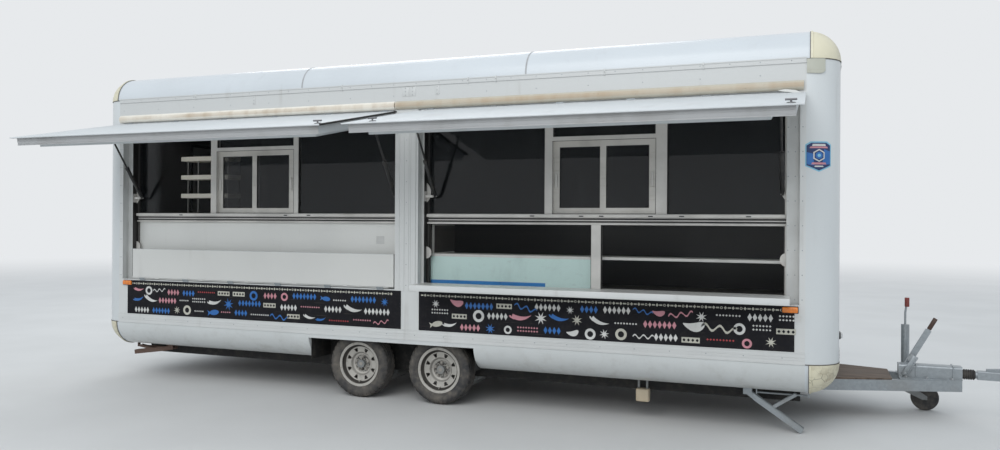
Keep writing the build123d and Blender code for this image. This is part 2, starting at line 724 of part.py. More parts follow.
# Handbrake: a channel lever leaning forward from its bracket, with a round grip
lever_y = housing_width / 2 + 19
lever_foot = (housing[0] + 44, lever_y, 330)
lever_top = (housing[0] + 218, lever_y, 650)
grip_end = (housing[0] + 264, lever_y, 735)
channel_width = 42
channel_depth = 30
channel_gauge = 3
with BuildPart(trailer) as handbrake_lever:
    run = Vector(*lever_top) - Vector(*lever_foot)
    foot = Plane(origin=lever_foot, x_dir=(0, 1, 0), z_dir=run)
    with Locations(foot.location):
        Box(channel_depth, channel_width, run.length, align=(Align.CENTER, Align.CENTER, Align.MIN))
        with Locations((channel_gauge, 0, 0)):
            Box(
                channel_depth,
                channel_width - 2 * channel_gauge,
                run.length,
                align=(Align.CENTER, Align.CENTER, Align.MIN),
                mode=Mode.SUBTRACT,
            )
    rod(lever_top, grip_end, 13)
    bracket_y = (housing_width / 2, lever_y - channel_depth / 2 + 4)
    block((lever_foot[0] - 25, lever_foot[0] + 60), bracket_y, (310, 380))
export(handbrake_lever.part, "handbrake_lever")

# Jockey wheel
jockey_x = half_length + 518
jockey_y = 246
jockey_radius = 100
jockey_trail = 140
jockey_width = 50
tube_z = (215, 666)
with BuildPart(trailer) as jockey_tube:
    rod((jockey_x, jockey_y, tube_z[0]), (jockey_x, jockey_y, tube_z[1]), 30)
    rod((jockey_x, jockey_y, tube_z[0] - 1), (jockey_x, jockey_y, tube_z[1] - 60), 24.3, mode=Mode.SUBTRACT)
    rod((jockey_x, jockey_y, tube_z[1]), (jockey_x, jockey_y, 760), 8)
    rod((jockey_x, jockey_y, 760), (jockey_x + 12, jockey_y, 850), 8)
    rod((jockey_x + 12, jockey_y, 820), (jockey_x + 12, jockey_y, 870), 15)
with BuildPart(trailer) as jockey_clamp:
    block((jockey_x - 40, jockey_x + 40), (jockey_y - 90, jockey_y), (arm_z[0] + 10, arm_z[1] - 10))
    rod((jockey_x, jockey_y, arm_z[0]), (jockey_x, jockey_y, arm_z[1]), 27, mode=Mode.SUBTRACT)
export(jockey_tube.part + (jockey_clamp.part - drawbar_arms.part), "jockey_tube")

with BuildPart(trailer) as jockey_fork:
    rod((jockey_x, jockey_y, 150), (jockey_x, jockey_y, tube_z[1] - 90), 24)
    for side in (-1, 1):
        y = sorted((jockey_y + side * (jockey_width / 2 + 6), jockey_y + side * (jockey_width / 2 + 11)))
        with BuildSketch(along(y[1])):
            with BuildLine():
                Polyline(
                    (jockey_x - 25, 195),
                    (jockey_x + 25, 195),
                    (jockey_x + jockey_trail + 15, jockey_radius + 12),
                    (jockey_x + jockey_trail + 15, jockey_radius - 15),
                    (jockey_x + jockey_trail - 20, jockey_radius - 15),
                    (jockey_x - 25, 150),
                    close=True,
                )
            make_face()
        extrude(amount=5)
    wide = jockey_width / 2 + 6
    block((jockey_x - 25, jockey_x + 20), (jockey_y - wide, jockey_y + wide), (165, 195))
    axle = (jockey_x + jockey_trail, jockey_y, jockey_radius)
    rod((axle[0], jockey_y - wide - 8, axle[2]), (axle[0], jockey_y + wide + 8, axle[2]), 8)
export(jockey_fork.part, "jockey_fork")

with BuildPart(trailer) as jockey_wheel:
    half = jockey_width / 2
    rod((axle[0], jockey_y - half, axle[2]), (axle[0], jockey_y + half, axle[2]), jockey_radius)
    fillet(jockey_wheel.edges().filter_by(GeomType.CIRCLE), 12)
    rod((axle[0], jockey_y - half - 1, axle[2]), (axle[0], jockey_y + half + 1, axle[2]), 8 + pin_clearance, mode=Mode.SUBTRACT)
export(jockey_wheel.part, "jockey_wheel")


# Wheels
def wheel_plane(x, side):
    """The section plane of one wheel: its x points out of the trailer, its y is the radius."""
    middle = side * (half_width - tyre_face_depth - tyre_width / 2)
    return Plane(
        origin=(datum_x + x, datum_y + middle, wheel_radius),
        x_dir=(0, side, 0),
        z_dir=(side, 0, 0),
    )


def spin_axis(x):
    """The axis of the wheels of one axle."""
    return Axis((datum_x + x, datum_y, wheel_radius), (0, 1, 0))


def tyre(x, side):
    """A tyre, turned from its section."""
    half = tyre_width / 2
    bead_half = rim_half_width - 5 - 0.3
    with BuildPart() as piece:
        with BuildSketch(wheel_plane(x, side)):
            with BuildLine():
                bead = Line((-bead_half, bead_radius + 0.3), (bead_half, bead_radius + 0.3))
                foot = Line(bead @ 1, (bead_half, flange_radius + 2))
                side_wall = ThreePointArc(foot @ 1, (half, 222), (half - 10, wheel_radius - 14))
                shoulder = ThreePointArc(side_wall @ 1, (half - 15, wheel_radius - 6), (half - 24, wheel_radius - 2))
                tread = ThreePointArc(shoulder @ 1, (0, wheel_radius), (-half + 24, wheel_radius - 2))
                mirror_shoulder = ThreePointArc(tread @ 1, (-half + 15, wheel_radius - 6), (-half + 10, wheel_radius - 14))
                mirror_wall = ThreePointArc(mirror_shoulder @ 1, (-half, 222), (-bead_half, flange_radius + 2))
                Line(mirror_wall @ 1, bead @ 0)
            make_face()
        revolve(axis=spin_axis(x))
    return piece.part


def rim(x, side):
    """A pressed steel wheel: rolled rim, dished disc, eight triangular vents and five bolt holes."""
    half = rim_half_width
    with BuildPart() as piece:
        with BuildSketch(wheel_plane(x, side)):
            with BuildLine():
                Polyline(
                    (half, flange_radius),
                    (half - 5, flange_radius),
                    (half - 5, bead_radius),
                    (half - 28, bead_radius - 1),
                    (half - 38, 148),
                    (-half + 50, 148),
                    (-half + 36, bead_radius - 1),
                    (-half + 5, bead_radius),
                    (-half + 5, flange_radius),
                    (-half, flange_radius),
                    (-half + 3, bead_radius - rim_gauge),
                    (-half + 34, bead_radius - 5),
                    (-half + 48, 144),
                    (half - 44, 144),
                    (half - 40, 142),
                    (24, 118),
                    (22, 100),
                    (4, 88),
                    (0, 70),
                    (0, hub_bore),
                    (5, hub_bore),
                    (5, 68),
                    (10, 86),
                    (28, 98),
                    (30, 118),
                    (half - 34, 142),
                    (half - 26, bead_radius - 5),
                    (half - 3, bead_radius - rim_gauge),
                    close=True,
                )
            make_face()
        revolve(axis=spin_axis(x))
        face = wheel_plane(x, side)
        outward = Plane(origin=face.origin, x_dir=(1, 0, 0), z_dir=(0, side, 0))
        with BuildSketch(outward):
            with PolarLocations(118, 8, start_angle=22.5):
                RegularPolygon(16, 3)
            with PolarLocations(bolt_circle, 5):
                Circle(7)
        extrude(amount=60, mode=Mode.SUBTRACT)
    return piece.part


wheel_places = [
    ("rear_right", wheel_x[0], -1),
    ("rear_left", wheel_x[0], 1),
    ("front_right", wheel_x[1], -1),
    ("front_left", wheel_x[1], 1),
]
for name, x, side in wheel_places:
    export(tyre(x, side), f"{name}_tyre")
    export(rim(x, side), f"{name}_rim")

# Axles: a tube under the rails, with a trailing arm, brake drum and spigot at each end
drum_face = half_width - tyre_face_depth - tyre_width / 2
with BuildPart(trailer) as axles:
    for x in wheel_x:
        pivot_x = x + arm_length
        rod((pivot_x, -drum_face + 150, axle_tube_z), (pivot_x, drum_face - 150, axle_tube_z), axle_tube_radius - 4)
        for side in (-1, 1):
            y = sorted((side * (drum_face - 155), side * (drum_face - 115)))
            rod((pivot_x, y[0], axle_tube_z), (pivot_x, y[1], axle_tube_z), axle_tube_radius)
            rod((x, y[0], wheel_radius), (x, y[1], wheel_radius), 34)
            with BuildSketch(along(y[1])):
                with BuildLine():
                    Polyline(
                        (pivot_x - 15, axle_tube_z - 40),
                        (pivot_x + 25, axle_tube_z + 35),
                        (x + 15, wheel_radius + 30),
                        (x - 15, wheel_radius - 30),
                        close=True,
                    )
                make_face()
            extrude(amount=40)
            rod((x, side * (drum_face - 120), wheel_radius), (x, side * (drum_face - 55), wheel_radius), 110)
            rod((x, side * (drum_face - 56), wheel_radius), (x, side * drum_face, wheel_radius), 75)
            rod((x, side * (drum_face - 1), wheel_radius), (x, side * (drum_face + 35), wheel_radius), hub_bore - pin_clearance)
        for side in (-1, 1):
            y = sorted((side * (rail_y - 40), side * (rail_y - 1)))
            block((pivot_x - 60, pivot_x + 60), y, (axle_tube_z + 20, rail_z[0]))
export(axles.part, "axles")

# Corner steadies: base, leg and stay
with BuildPart(trailer) as steady_bases:
    for name, x, side, way, down in steady_rows:
        y = side * steady_y
        spread = sorted((x - way * 60, x + way * 420))
        block(spread, (y - 32, y + 32), (body_bottom - 6, body_bottom))
        for inner in (-32, 28):
            block(sorted((x - way * 30, x + way * 30)), (y + inner, y + inner + 4), (steady_pivot_z - 15, body_bottom - 4))
        rod((x, y - 34, steady_pivot_z), (x, y + 34, steady_pivot_z), 6)
        rod((x + way * 60, y, steady_pivot_z), (x + way * 410, y, steady_pivot_z), 7)
        block(sorted((x + way * 400, x + way * 412)), (y - 12, y + 12), (steady_pivot_z - 12, body_bottom - 4))
        block(sorted((x + way * 56, x + way * 64)), (y - 12, y + 12), (steady_pivot_z - 12, body_bottom - 4))
export(steady_bases.part, "steady_bases")


def steady_leg_piece(x, side, way, down):
    """A channel-shaped leg with its foot, turned down about its pivot."""
    y = side * steady_y
    z = steady_pivot_z
    with BuildPart(trailer) as piece:
        for inner in (-26, 22):
            block(sorted((x - way * 18, x + way * steady_leg)), (y + inner, y + inner + 4), (z - 18, z + 18))
        block(sorted((x + way * 60, x + way * steady_leg)), (y - 26, y + 26), (z - steady_web, z - 18))
        block(sorted((x + way * (steady_leg - 4), x + way * steady_leg)), (y - 26, y + 26), (z - steady_web, z + 18))
        rod((x, y - 27, z), (x, y + 27, z), 6 + pin_clearance, mode=Mode.SUBTRACT)
        rod((x + way * steady_arm, y - 24, z), (x + way * steady_arm, y + 24, z), 5)
    pivot = Axis((datum_x + x, datum_y + y, z), (0, 1, 0))
    return piece.part.rotate(pivot, way * down)


def steady_stay_piece(x, side, way, down):
    """The stay between the leg and the screw, with its trunnion nut."""
    y = side * steady_y
    z = steady_pivot_z
    pin = (x + way * steady_arm * cos(radians(down)), z - steady_arm * sin(radians(down)))
    nut = (x + way * 2 * steady_arm * cos(radians(down)), z)
    with BuildPart(trailer) as piece:
        for inner in (-20, 16):
            rod((pin[0], y + inner, pin[1]), (pin[0], y + inner + 4, pin[1]), 12)
            rod((nut[0], y + inner, nut[1]), (nut[0], y + inner + 4, nut[1]), 12)
            turn = degrees(atan2(nut[1] - pin[1], nut[0] - pin[0]))
            run = hypot(nut[0] - pin[0], nut[1] - pin[1])
            with BuildSketch(along(y + inner + 4)):
                with Locations(((pin[0] + nut[0]) / 2, (pin[1] + nut[1]) / 2)):
                    Rectangle(run, 22, rotation=turn)
            extrude(amount=4)
        rod((pin[0], y - 17, pin[1]), (pin[0], y + 17, pin[1]), 8)
        rod((pin[0], y - 21, pin[1]), (pin[0], y + 21, pin[1]), 5 + pin_clearance, mode=Mode.SUBTRACT)
        rod((nut[0], y - 20, nut[1]), (nut[0], y - 9, nut[1]), 6)
        rod((nut[0], y + 9, nut[1]), (nut[0], y + 20, nut[1]), 6)
    return piece.part


for name, x, side, way, down in steady_rows:
    export(steady_leg_piece(x, side, way, down), f"{name}_steady_leg")
    export(steady_stay_piece(x, side, way, down), f"{name}_steady_stay")

# Lamps
with BuildPart(trailer) as side_markers:
    for x in marker_x:
        for side in (-1, 1):
            y = sorted((side * half_width, side * (half_width + marker_depth)))
            block((x - 50, x + 50), y, marker_z)
    faces = side_markers.faces().filter_by(Axis.Y)
    outer = [face for face in faces if abs(face.center().Y - datum_y) > half_width + 1]
    fillet([edge for face in outer for edge in face.edges()], 6)
export(side_markers.part, "side_markers")

lamp_y = (860, 925)
lamp_z = (rail_top + 10, rail_top + 230)
lamp_depth = 35
with BuildPart(trailer) as rear_lamps:
    for side in (-1, 1):
        y = sorted((side * lamp_y[0], side * lamp_y[1]))
        block((-half_length - lamp_depth, -half_length), y, lamp_z)
    fillet(rear_lamps.faces().sort_by(Axis.X)[:2].edges(), 8)
    for z in (lamp_z[0] + 73, lamp_z[0] + 145):
        for side in (-1, 1):
            y = sorted((side * (lamp_y[0] - 1), side * (lamp_y[1] + 1)))
            block((-half_length - lamp_depth - 1, -half_length - lamp_depth + 4), y, (z - 1, z + 1), mode=Mode.SUBTRACT)
export(rear_lamps.part, "rear_lamps")
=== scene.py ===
"""Food trailer: finishes, fittings, floor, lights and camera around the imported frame.

Sizes are metres.  A place is given in the trailer's own datum, the ground under the middle of the
body, with +X towards the drawbar, -Y to the serving side and +Z up; the bench adds the datum.
"""

from __future__ import annotations

import json
import logging
from contextlib import contextmanager
from dataclasses import dataclass, field
from enum import Enum
from functools import lru_cache
from itertools import product
from math import atan2, cos, degrees, hypot, pi, radians, sin, tan
from random import Random
from typing import Callable, Iterable, Iterator, Sequence

import bmesh
import bpy
from mathutils import Euler, Matrix, Vector

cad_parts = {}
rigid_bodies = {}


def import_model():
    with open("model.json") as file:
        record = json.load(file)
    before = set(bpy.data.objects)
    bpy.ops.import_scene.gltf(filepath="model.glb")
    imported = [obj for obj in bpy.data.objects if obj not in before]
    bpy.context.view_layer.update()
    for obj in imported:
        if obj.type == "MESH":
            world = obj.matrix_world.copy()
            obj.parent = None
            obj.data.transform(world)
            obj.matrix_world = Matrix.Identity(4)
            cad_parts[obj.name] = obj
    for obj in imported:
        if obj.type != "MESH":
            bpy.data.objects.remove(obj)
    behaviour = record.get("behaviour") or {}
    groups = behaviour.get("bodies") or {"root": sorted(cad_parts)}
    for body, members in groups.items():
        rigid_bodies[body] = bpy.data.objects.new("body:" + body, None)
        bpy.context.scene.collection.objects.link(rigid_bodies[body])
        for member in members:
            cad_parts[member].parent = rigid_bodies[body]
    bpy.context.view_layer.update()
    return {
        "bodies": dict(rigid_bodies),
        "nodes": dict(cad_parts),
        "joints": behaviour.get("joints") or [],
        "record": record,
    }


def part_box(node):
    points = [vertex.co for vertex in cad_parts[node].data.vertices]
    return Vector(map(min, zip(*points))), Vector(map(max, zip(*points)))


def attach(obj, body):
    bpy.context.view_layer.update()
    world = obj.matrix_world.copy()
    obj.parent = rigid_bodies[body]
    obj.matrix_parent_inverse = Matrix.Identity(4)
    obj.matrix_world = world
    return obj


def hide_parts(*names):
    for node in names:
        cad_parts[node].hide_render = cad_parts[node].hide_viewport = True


LOG = logging.getLogger("food_trailer")

Colour = tuple[float, float, float]
Point = tuple[float, float, float]
Span = tuple[float, float]
Piece = bpy.types.Object

BACKDROP: Colour = (0.80, 0.82, 0.84)


class Signal:
    """One output of a node, on which Python's arithmetic builds more nodes."""

    def __init__(self, graph: Graph, socket: bpy.types.NodeSocket) -> None:
        """Hold an output of a node."""
        self.graph = graph
        self.socket = socket

    def _maths(self, operation: str, *values: Signal | float) -> Signal:
        """Add one Math node on these values."""
        return self.graph.node("ShaderNodeMath", dict(enumerate(values)), {"operation": operation})

    def __add__(self, other: Signal | float) -> Signal:
        """The sum."""
        return self._maths("ADD", self, other)

    def __sub__(self, other: Signal | float) -> Signal:
        """The difference."""
        return self._maths("SUBTRACT", self, other)

    def __rsub__(self, other: float) -> Signal:
        """A number less the value."""
        return self._maths("SUBTRACT", other, self)

    def __mul__(self, other: Signal | float) -> Signal:
        """The product."""
        return self._maths("MULTIPLY", self, other)

    __radd__ = __add__
    __rmul__ = __mul__

    def size(self) -> Signal:
        """The value without its sign."""
        return self._maths("ABSOLUTE", self)

    def wave(self) -> Signal:
        """The sine of the value."""
        return self._maths("SINE", self)

    def most(self, other: Signal | float) -> Signal:
        """The larger of two values."""
        return self._maths("MAXIMUM", self, other)

    def root(self) -> Signal:
        """The square root of the value."""
        return self._maths("SQRT", self)

    def angle(self, other: Signal) -> Signal:
        """The angle whose tangent is this value over another."""
        return self._maths("ARCTAN2", self, other)

    def between(self, low: float, high: float, edge: float = 0.002) -> Signal:
        """1 from low to high and 0 elsewhere, with soft edges."""
        return self.step(low - edge, low + edge) * (1.0 - self.step(high - edge, high + edge))

    def capped(self) -> Signal:
        """The value held between 0 and 1."""
        return self.graph.node("ShaderNodeClamp", {"Value": self})

    def step(self, low: float, high: float) -> Signal:
        """A smooth rise from 0 at low to 1 at high."""
        values = {"Value": self, "From Min": low, "From Max": high}
        return self.graph.node("ShaderNodeMapRange", values, {"interpolation_type": "SMOOTHSTEP"})


class Graph:
    """A node tree, of a material or the world, with the few node patterns that the finishes share."""

    datum = Vector((0.0, 0.0, 0.0))

    def __init__(self, tree: bpy.types.NodeTree) -> None:
        """Start with an empty tree."""
        self.tree = tree
        self.tree.nodes.clear()
        self._place: Signal | None = None

    def node(
        self, kind: str, values: dict | None = None, settings: dict | None = None, output: str | int = 0
    ) -> Signal:
        """Add a node.

        Args:
            kind: The node's type.
            values: What its sockets hold or are linked to, by name or number.
            settings: Its properties, set first.
            output: Which output is returned.

        Returns:
            The chosen output as a signal.
        """
        made = self.tree.nodes.new(kind)
        for key, value in (settings or {}).items():
            setattr(made, key, value)
        for key, value in (values or {}).items():
            if isinstance(value, Signal):
                self.tree.links.new(value.socket, made.inputs[key])
            elif isinstance(value, tuple) and len(value) == 3 and made.inputs[key].type == "RGBA":
                made.inputs[key].default_value = (*value, 1.0)
            else:
                made.inputs[key].default_value = value
        return Signal(self, made.outputs[output])

    def others(self, signal: Signal, *outputs: str) -> list[Signal]:
        """More outputs of the node that a signal comes from, by name."""
        sockets = signal.socket.node.outputs
        return [Signal(self, sockets[output]) for output in outputs]

    def place(self) -> Signal:
        """Object coordinates, which are the frame's own because every piece sits at the origin."""
        if self._place is None:
            self._place = self.node("ShaderNodeTexCoord", output="Object")
        return self._place

    def axes(self) -> list[Signal]:
        """The x, y and z of the place in the trailer's own datum."""
        values = {0: self.place(), 1: tuple(Graph.datum)}
        moved = self.node("ShaderNodeVectorMath", values, {"operation": "SUBTRACT"})
        return self.others(self.node("ShaderNodeSeparateXYZ", {0: moved}), "X", "Y", "Z")

    def inside(self) -> Signal:
        """1 on faces that look into the cabin and 0 on the outer skin, past the seams of its rolls."""
        x, y, z = self.axes()
        seam_x, seam_y, seam_z, middle_z = 2.972, 0.934, 1.023, 1.538
        inner, outer = 0.036, 0.042
        beyond_x = (x.size() - seam_x).most(0.0)
        beyond_y = (y.size() - seam_y).most(0.0)
        beyond_z = ((z - middle_z).size() - seam_z).most(0.0)
        return 1.0 - (beyond_x * beyond_x + beyond_y * beyond_y + beyond_z * beyond_z).step(inner, outer)

    def noise(
        self, scale: float, detail: float = 3.0, stretch: Point | None = None, roughness: float = 0.5
    ) -> Signal:
        """Cloudy noise about 0.5, with the place stretched for grain that runs one way."""
        place = self.place()
        if stretch:
            place = self.node("ShaderNodeMapping", {0: place, "Scale": stretch})
        values = {"Vector": place, "Scale": scale, "Detail": detail, "Roughness": roughness}
        return self.node("ShaderNodeTexNoise", values)

    def cells(self, scale: float, feature: str = "F1", output: str = "Color") -> Signal:
        """A Voronoi pattern: cells of one tone, or the distance to their edges."""
        values = {"Vector": self.place(), "Scale": scale}
        return self.node("ShaderNodeTexVoronoi", values, {"feature": feature}, output)

    def mix(self, first: Signal | Colour, second: Signal | Colour, factor: Signal | float) -> Signal:
        """A colour between two."""
        return self.node("ShaderNodeMix", {0: factor, 6: first, 7: second}, {"data_type": "RGBA"}, 2)

    def bump(self, height: Signal, distance: float, strength: float = 1.0) -> Signal:
        """A normal raised by a height."""
        return self.node("ShaderNodeBump", {"Height": height, "Distance": distance, "Strength": strength})

    def seen(self) -> Signal:
        """1 on rays from the camera, in a mirror or through glass, and 0 on those that light the object."""
        camera = self.node("ShaderNodeLightPath", output="Is Camera Ray")
        glossy, through = self.others(camera, "Is Glossy Ray", "Is Transmission Ray")
        return camera.most(glossy).most(through)

    def finish(self, values: dict) -> None:
        """Close a material's tree with a Principled surface."""
        self.close(self.node("ShaderNodeBsdfPrincipled", values))

    def close(self, surface: Signal, kind: str = "ShaderNodeOutputMaterial") -> None:
        """Link a surface to the tree's output."""
        output = self.tree.nodes.new(kind)
        self.tree.links.new(surface.socket, output.inputs["Surface"])


@dataclass(frozen=True)
class Finish:
    """What every finish has: a name and a base colour."""

    name: str
    colour: Colour

    def build(self, graph: Graph) -> None:
        """Lay the finish's nodes."""
        raise NotImplementedError

    def shaded(self, graph: Graph, share: float, mask: Signal) -> Signal:
        """The base colour, taken down to a share of itself where a mask is 1."""
        return graph.mix(self.colour, tuple(share * c for c in self.colour), mask)


@lru_cache(maxsize=None)
def dressed(finish: Finish) -> bpy.types.Material:
    """The material of a finish, made once."""
    material = bpy.data.materials.new(finish.name)
    material.use_nodes = True
    finish.build(Graph(material.node_tree))
    return material


@dataclass(frozen=True)
class Gelcoat(Finish):
    """White glass-fibre skin: faint clouds, runs of dirt, road splash low down, specks and dents, with
    painted shade above a set height and on the faces inside the cabin.
    """

    dirt: Colour = (0.22, 0.19, 0.15)
    splash: float = 0.3
    runs: float = 0.16
    gloss: float = 0.3
    # Painted shade: faces inside the cabin take a dark colour in place of the cabin's shade.
    shaded_inside: bool = False
    inside_shade: Colour = (0.05, 0.047, 0.043)
    # Share of the colour kept above upper_edge: painted shade on the upper band, none at 1.0.
    upper: float = 1.0
    upper_edge: Span = (2.33, 2.36)
    splash_edge: Span = (0.28, 0.62)

    def build(self, graph: Graph) -> None:
        """Lay the skin's nodes."""
        _, _, height = graph.axes()
        cloud = graph.noise(1.1, 4.0)
        grain = graph.noise(38.0, 5.0)
        # Random clouds darken the skin; above the upper edge the same darkening is painted shade.
        clouds_and_upper_shade = cloud.step(0.35, 0.75).most(height.step(*self.upper_edge) if self.upper < 1.0 else 0.0)
        second = tuple(min(0.93, self.upper) * c for c in self.colour)
        streak = graph.noise(13.0, 4.0, (1.0, 1.0, 0.05)).step(0.56, 0.78)
        run = streak * graph.noise(2.3, 2.0).step(0.45, 0.66)
        low = (1.0 - height.step(*self.splash_edge)) * graph.noise(7.0, 7.0, roughness=0.7).step(0.45, 0.78)
        speck = graph.noise(120.0, 2.0).step(0.68, 0.76)
        soil = (run * self.runs + low * self.splash + speck * 0.2).capped()
        tone = graph.mix(self.colour, second, clouds_and_upper_shade)
        skin = graph.mix(tone, self.dirt, soil)
        # Painted shade on the faces inside the cabin.
        if self.shaded_inside:
            skin = graph.mix(skin, self.inside_shade, graph.inside())
        graph.finish({
            "Base Color": skin,
            "Roughness": grain * 0.12 + soil * 0.35 + self.gloss,
            "Normal": graph.bump(cloud + grain * 0.015, 0.006, 0.25),
            "Coat Weight": 0.2,
            "Coat Roughness": 0.15,
        })


@dataclass(frozen=True)
class Jamb(Finish):
    """Pale window profile that turns black on the jamb near the glass, at the left end of each bay."""

    lefts: Span = (-2.882, 0.12)
    reach: Span = (-0.004, 0.013)
    depth: float = -1.081
    # The black that the jamb takes near the glass.
    seal: Colour = (0.018, 0.017, 0.016)
    soil: Colour = (0.25, 0.2, 0.15)

    def build(self, graph: Graph) -> None:
        """Lay the profile's nodes."""
        x, y, _ = graph.axes()
        cloud = graph.noise(4.5, 4.0)
        run = graph.noise(15.0, 5.0, (1.0, 1.0, 0.08)).step(0.5, 0.8) * 0.14
        first, second = (x.between(left + self.reach[0], left + self.reach[1]) for left in self.lefts)
        black = first.most(second) * y.step(self.depth - 0.001, self.depth + 0.001)
        tone = self.shaded(graph, 0.85, cloud.step(0.35, 0.7))
        soiled = graph.mix(tone, self.soil, run)
        graph.finish({
            "Base Color": graph.mix(soiled, self.seal, black),
            "Roughness": run * 0.5 + 0.4,
            "Normal": graph.bump(cloud, 0.003, 0.3),
        })


@dataclass(frozen=True)
class HatchSkin(Finish):
    """White hatch skin, with the turn handles and hinge that stand above its plane in dull steel."""

    dirt: Colour = (0.24, 0.21, 0.17)
    steel: Colour = (0.20, 0.20, 0.21)
    proud: Span = (0.003, 0.0045)
    hinge: Span = (-1.16, 2.336)
    drop: float = radians(11.7)

    def build(self, graph: Graph) -> None:
        """Lay the hatch's nodes."""
        _, y, z = graph.axes()
        above = z - self.hinge[1] + (self.hinge[0] - y) * tan(self.drop)
        metal = above.step(*self.proud)
        grain = graph.noise(38.0, 5.0)
        streak = graph.noise(7.0, 6.0, (1.0, 0.25, 1.0), 0.65).step(0.5, 0.8) * 0.16
        speck = graph.noise(110.0, 2.0).step(0.66, 0.76) * 0.2
        soil = (streak + speck).capped()
        skin = graph.mix(self.colour, self.dirt, soil)
        graph.finish({
            "Base Color": graph.mix(skin, self.steel, metal),
            "Metallic": metal * 0.7,
            "Roughness": grain * 0.1 + soil * 0.3 + 0.5,
            "Normal": graph.bump(grain * 0.02 + graph.noise(1.4, 3.0), 0.005, 0.25),
            "Specular IOR Level": 0.3,
        })


@dataclass(frozen=True)
class AgedPlastic(Finish):
    """Yellowed moulding with brown weather stains and fine cracks."""

    stain: Colour = (0.22, 0.15, 0.08)
    stains: float = 0.5
    crack: Colour = (0.04, 0.03, 0.02)
    cracks: float = 0.0
    low_edge: Span = (0.3, 0.62)

    def build(self, graph: Graph) -> None:
        """Lay the moulding's nodes."""
        _, _, height = graph.axes()
        cloud = graph.noise(4.5, 4.0)
        band = graph.noise(3.0, 3.0, (0.6, 1.0, 14.0))
        blot = graph.noise(9.0, 7.0, roughness=0.7)
        low = 1.0 - height.step(*self.low_edge)
        blots = blot.step(0.5, 0.68) * (low * 0.8 + 0.2) * self.stains
        stained = (blots + band.step(0.55, 0.75) * 0.18).capped()
        broken = graph.noise(13.0, 4.0).step(0.44, 0.54)
        edge = 1.0 - graph.cells(15.0, "DISTANCE_TO_EDGE", "Distance").step(0.0, 0.03)
        split = edge * broken * low * self.cracks
        tone = self.shaded(graph, 0.8, cloud.step(0.35, 0.7))
        soiled = graph.mix(tone, self.stain, stained)
        graph.finish({
            "Base Color": graph.mix(soiled, self.crack, split),
            "Roughness": stained * 0.3 + 0.42,
            "Normal": graph.bump(cloud * 0.5 - split, 0.004, 0.5),
        })


@dataclass(frozen=True)
class HingeCover(Finish):
    """Pale cream cover strip, brown along its middle height and streaked; the front one is darker."""

    front_tone: Colour = (0.50, 0.47, 0.39)
    streak: Colour = (0.40, 0.30, 0.20)
    spot: Colour = (0.10, 0.08, 0.06)
    height: float = 2.386
    join: Span = (-0.11, -0.09)

    def build(self, graph: Graph) -> None:
        """Lay the strip's nodes."""
        x, _, z = graph.axes()
        cloud = graph.noise(2.2, 5.0, (0.7, 1.0, 1.0))
        run = graph.noise(11.0, 5.0, (1.0, 1.0, 0.12)).step(0.42, 0.7)
        # A brown band along the strip's middle height.
        band = 1.0 - (z - self.height).size().step(0.008, 0.026)
        # The front cover is darker than the rear one.
        tone = graph.mix(self.colour, self.front_tone, x.step(*self.join))
        soil = (band * (cloud.step(0.3, 0.6) * 0.45 + 0.2) + run * 0.22).capped()
        speck = graph.noise(60.0, 4.0).step(0.64, 0.74) * 0.3
        graph.finish({
            "Base Color": graph.mix(graph.mix(tone, self.streak, soil), self.spot, speck),
            "Roughness": soil * 0.2 + 0.45,
            "Normal": graph.bump(run + cloud, 0.002, 0.3),
        })


@dataclass(frozen=True)
class Counter(Finish):
    """White display counter with a mint front board and a blue strip at its foot, and painted shade in the
    recess under its worktop.
    """

    mint: Colour = (0.70, 0.90, 0.85)
    rack: Colour = (0.98, 0.92, 0.78)
    wire: Colour = (0.30, 0.29, 0.27)
    blue: Colour = (0.04, 0.24, 0.60)
    shade: Colour = (0.06, 0.055, 0.05)
    scuffed: Colour = (0.16, 0.14, 0.12)
    front_y: Span = (-0.955, -0.945)
    mint_x: Span = (0.1, 1.515)
    mint_z: Span = (0.95, 1.179)
    blue_x: Span = (0.1, 1.1)
    blue_z: Span = (0.93, 0.990)
    recess_y: Span = (-0.94, -0.92)
    recess_top: Span = (1.42, 1.44)
    worktop_z: Span = (1.175, 1.205)
    rack_foot: Span = (1.50, 1.52)
    shelves: tuple[Span, Span, Span] = ((1.664, 1.706), (1.837, 1.879), (2.009, 2.051))

    def build(self, graph: Graph) -> None:
        """Lay the counter's nodes."""
        x, y, z = graph.axes()
        front = 1.0 - y.step(*self.front_y)
        board = front * z.between(*self.mint_z) * x.between(*self.mint_x)
        strip = front * z.between(*self.blue_z) * x.between(*self.blue_x)
        low, middle, high = (z.between(*shelf) for shelf in self.shelves)
        boards = low.most(middle).most(high)
        # Painted shade in the counter's recess below the worktop.
        recess = y.step(*self.recess_y) * (1.0 - z.step(*self.recess_top))
        under = recess * (1.0 - z.between(*self.worktop_z))
        scuff = graph.noise(24.0, 6.0, (0.4, 1.0, 1.0), 0.65).step(0.55, 0.8) * 0.25
        desk = graph.mix(graph.mix(self.colour, self.mint, board), self.blue, strip)
        desk = graph.mix(desk, self.shade, under)
        tone = graph.mix(desk, graph.mix(self.wire, self.rack, boards), z.step(*self.rack_foot))
        graph.finish({
            "Base Color": graph.mix(tone, self.scuffed, scuff),
            "Roughness": scuff * 0.5 + 0.35,
            "Normal": graph.bump(graph.noise(90.0, 3.0), 0.0006, 0.3),
        })


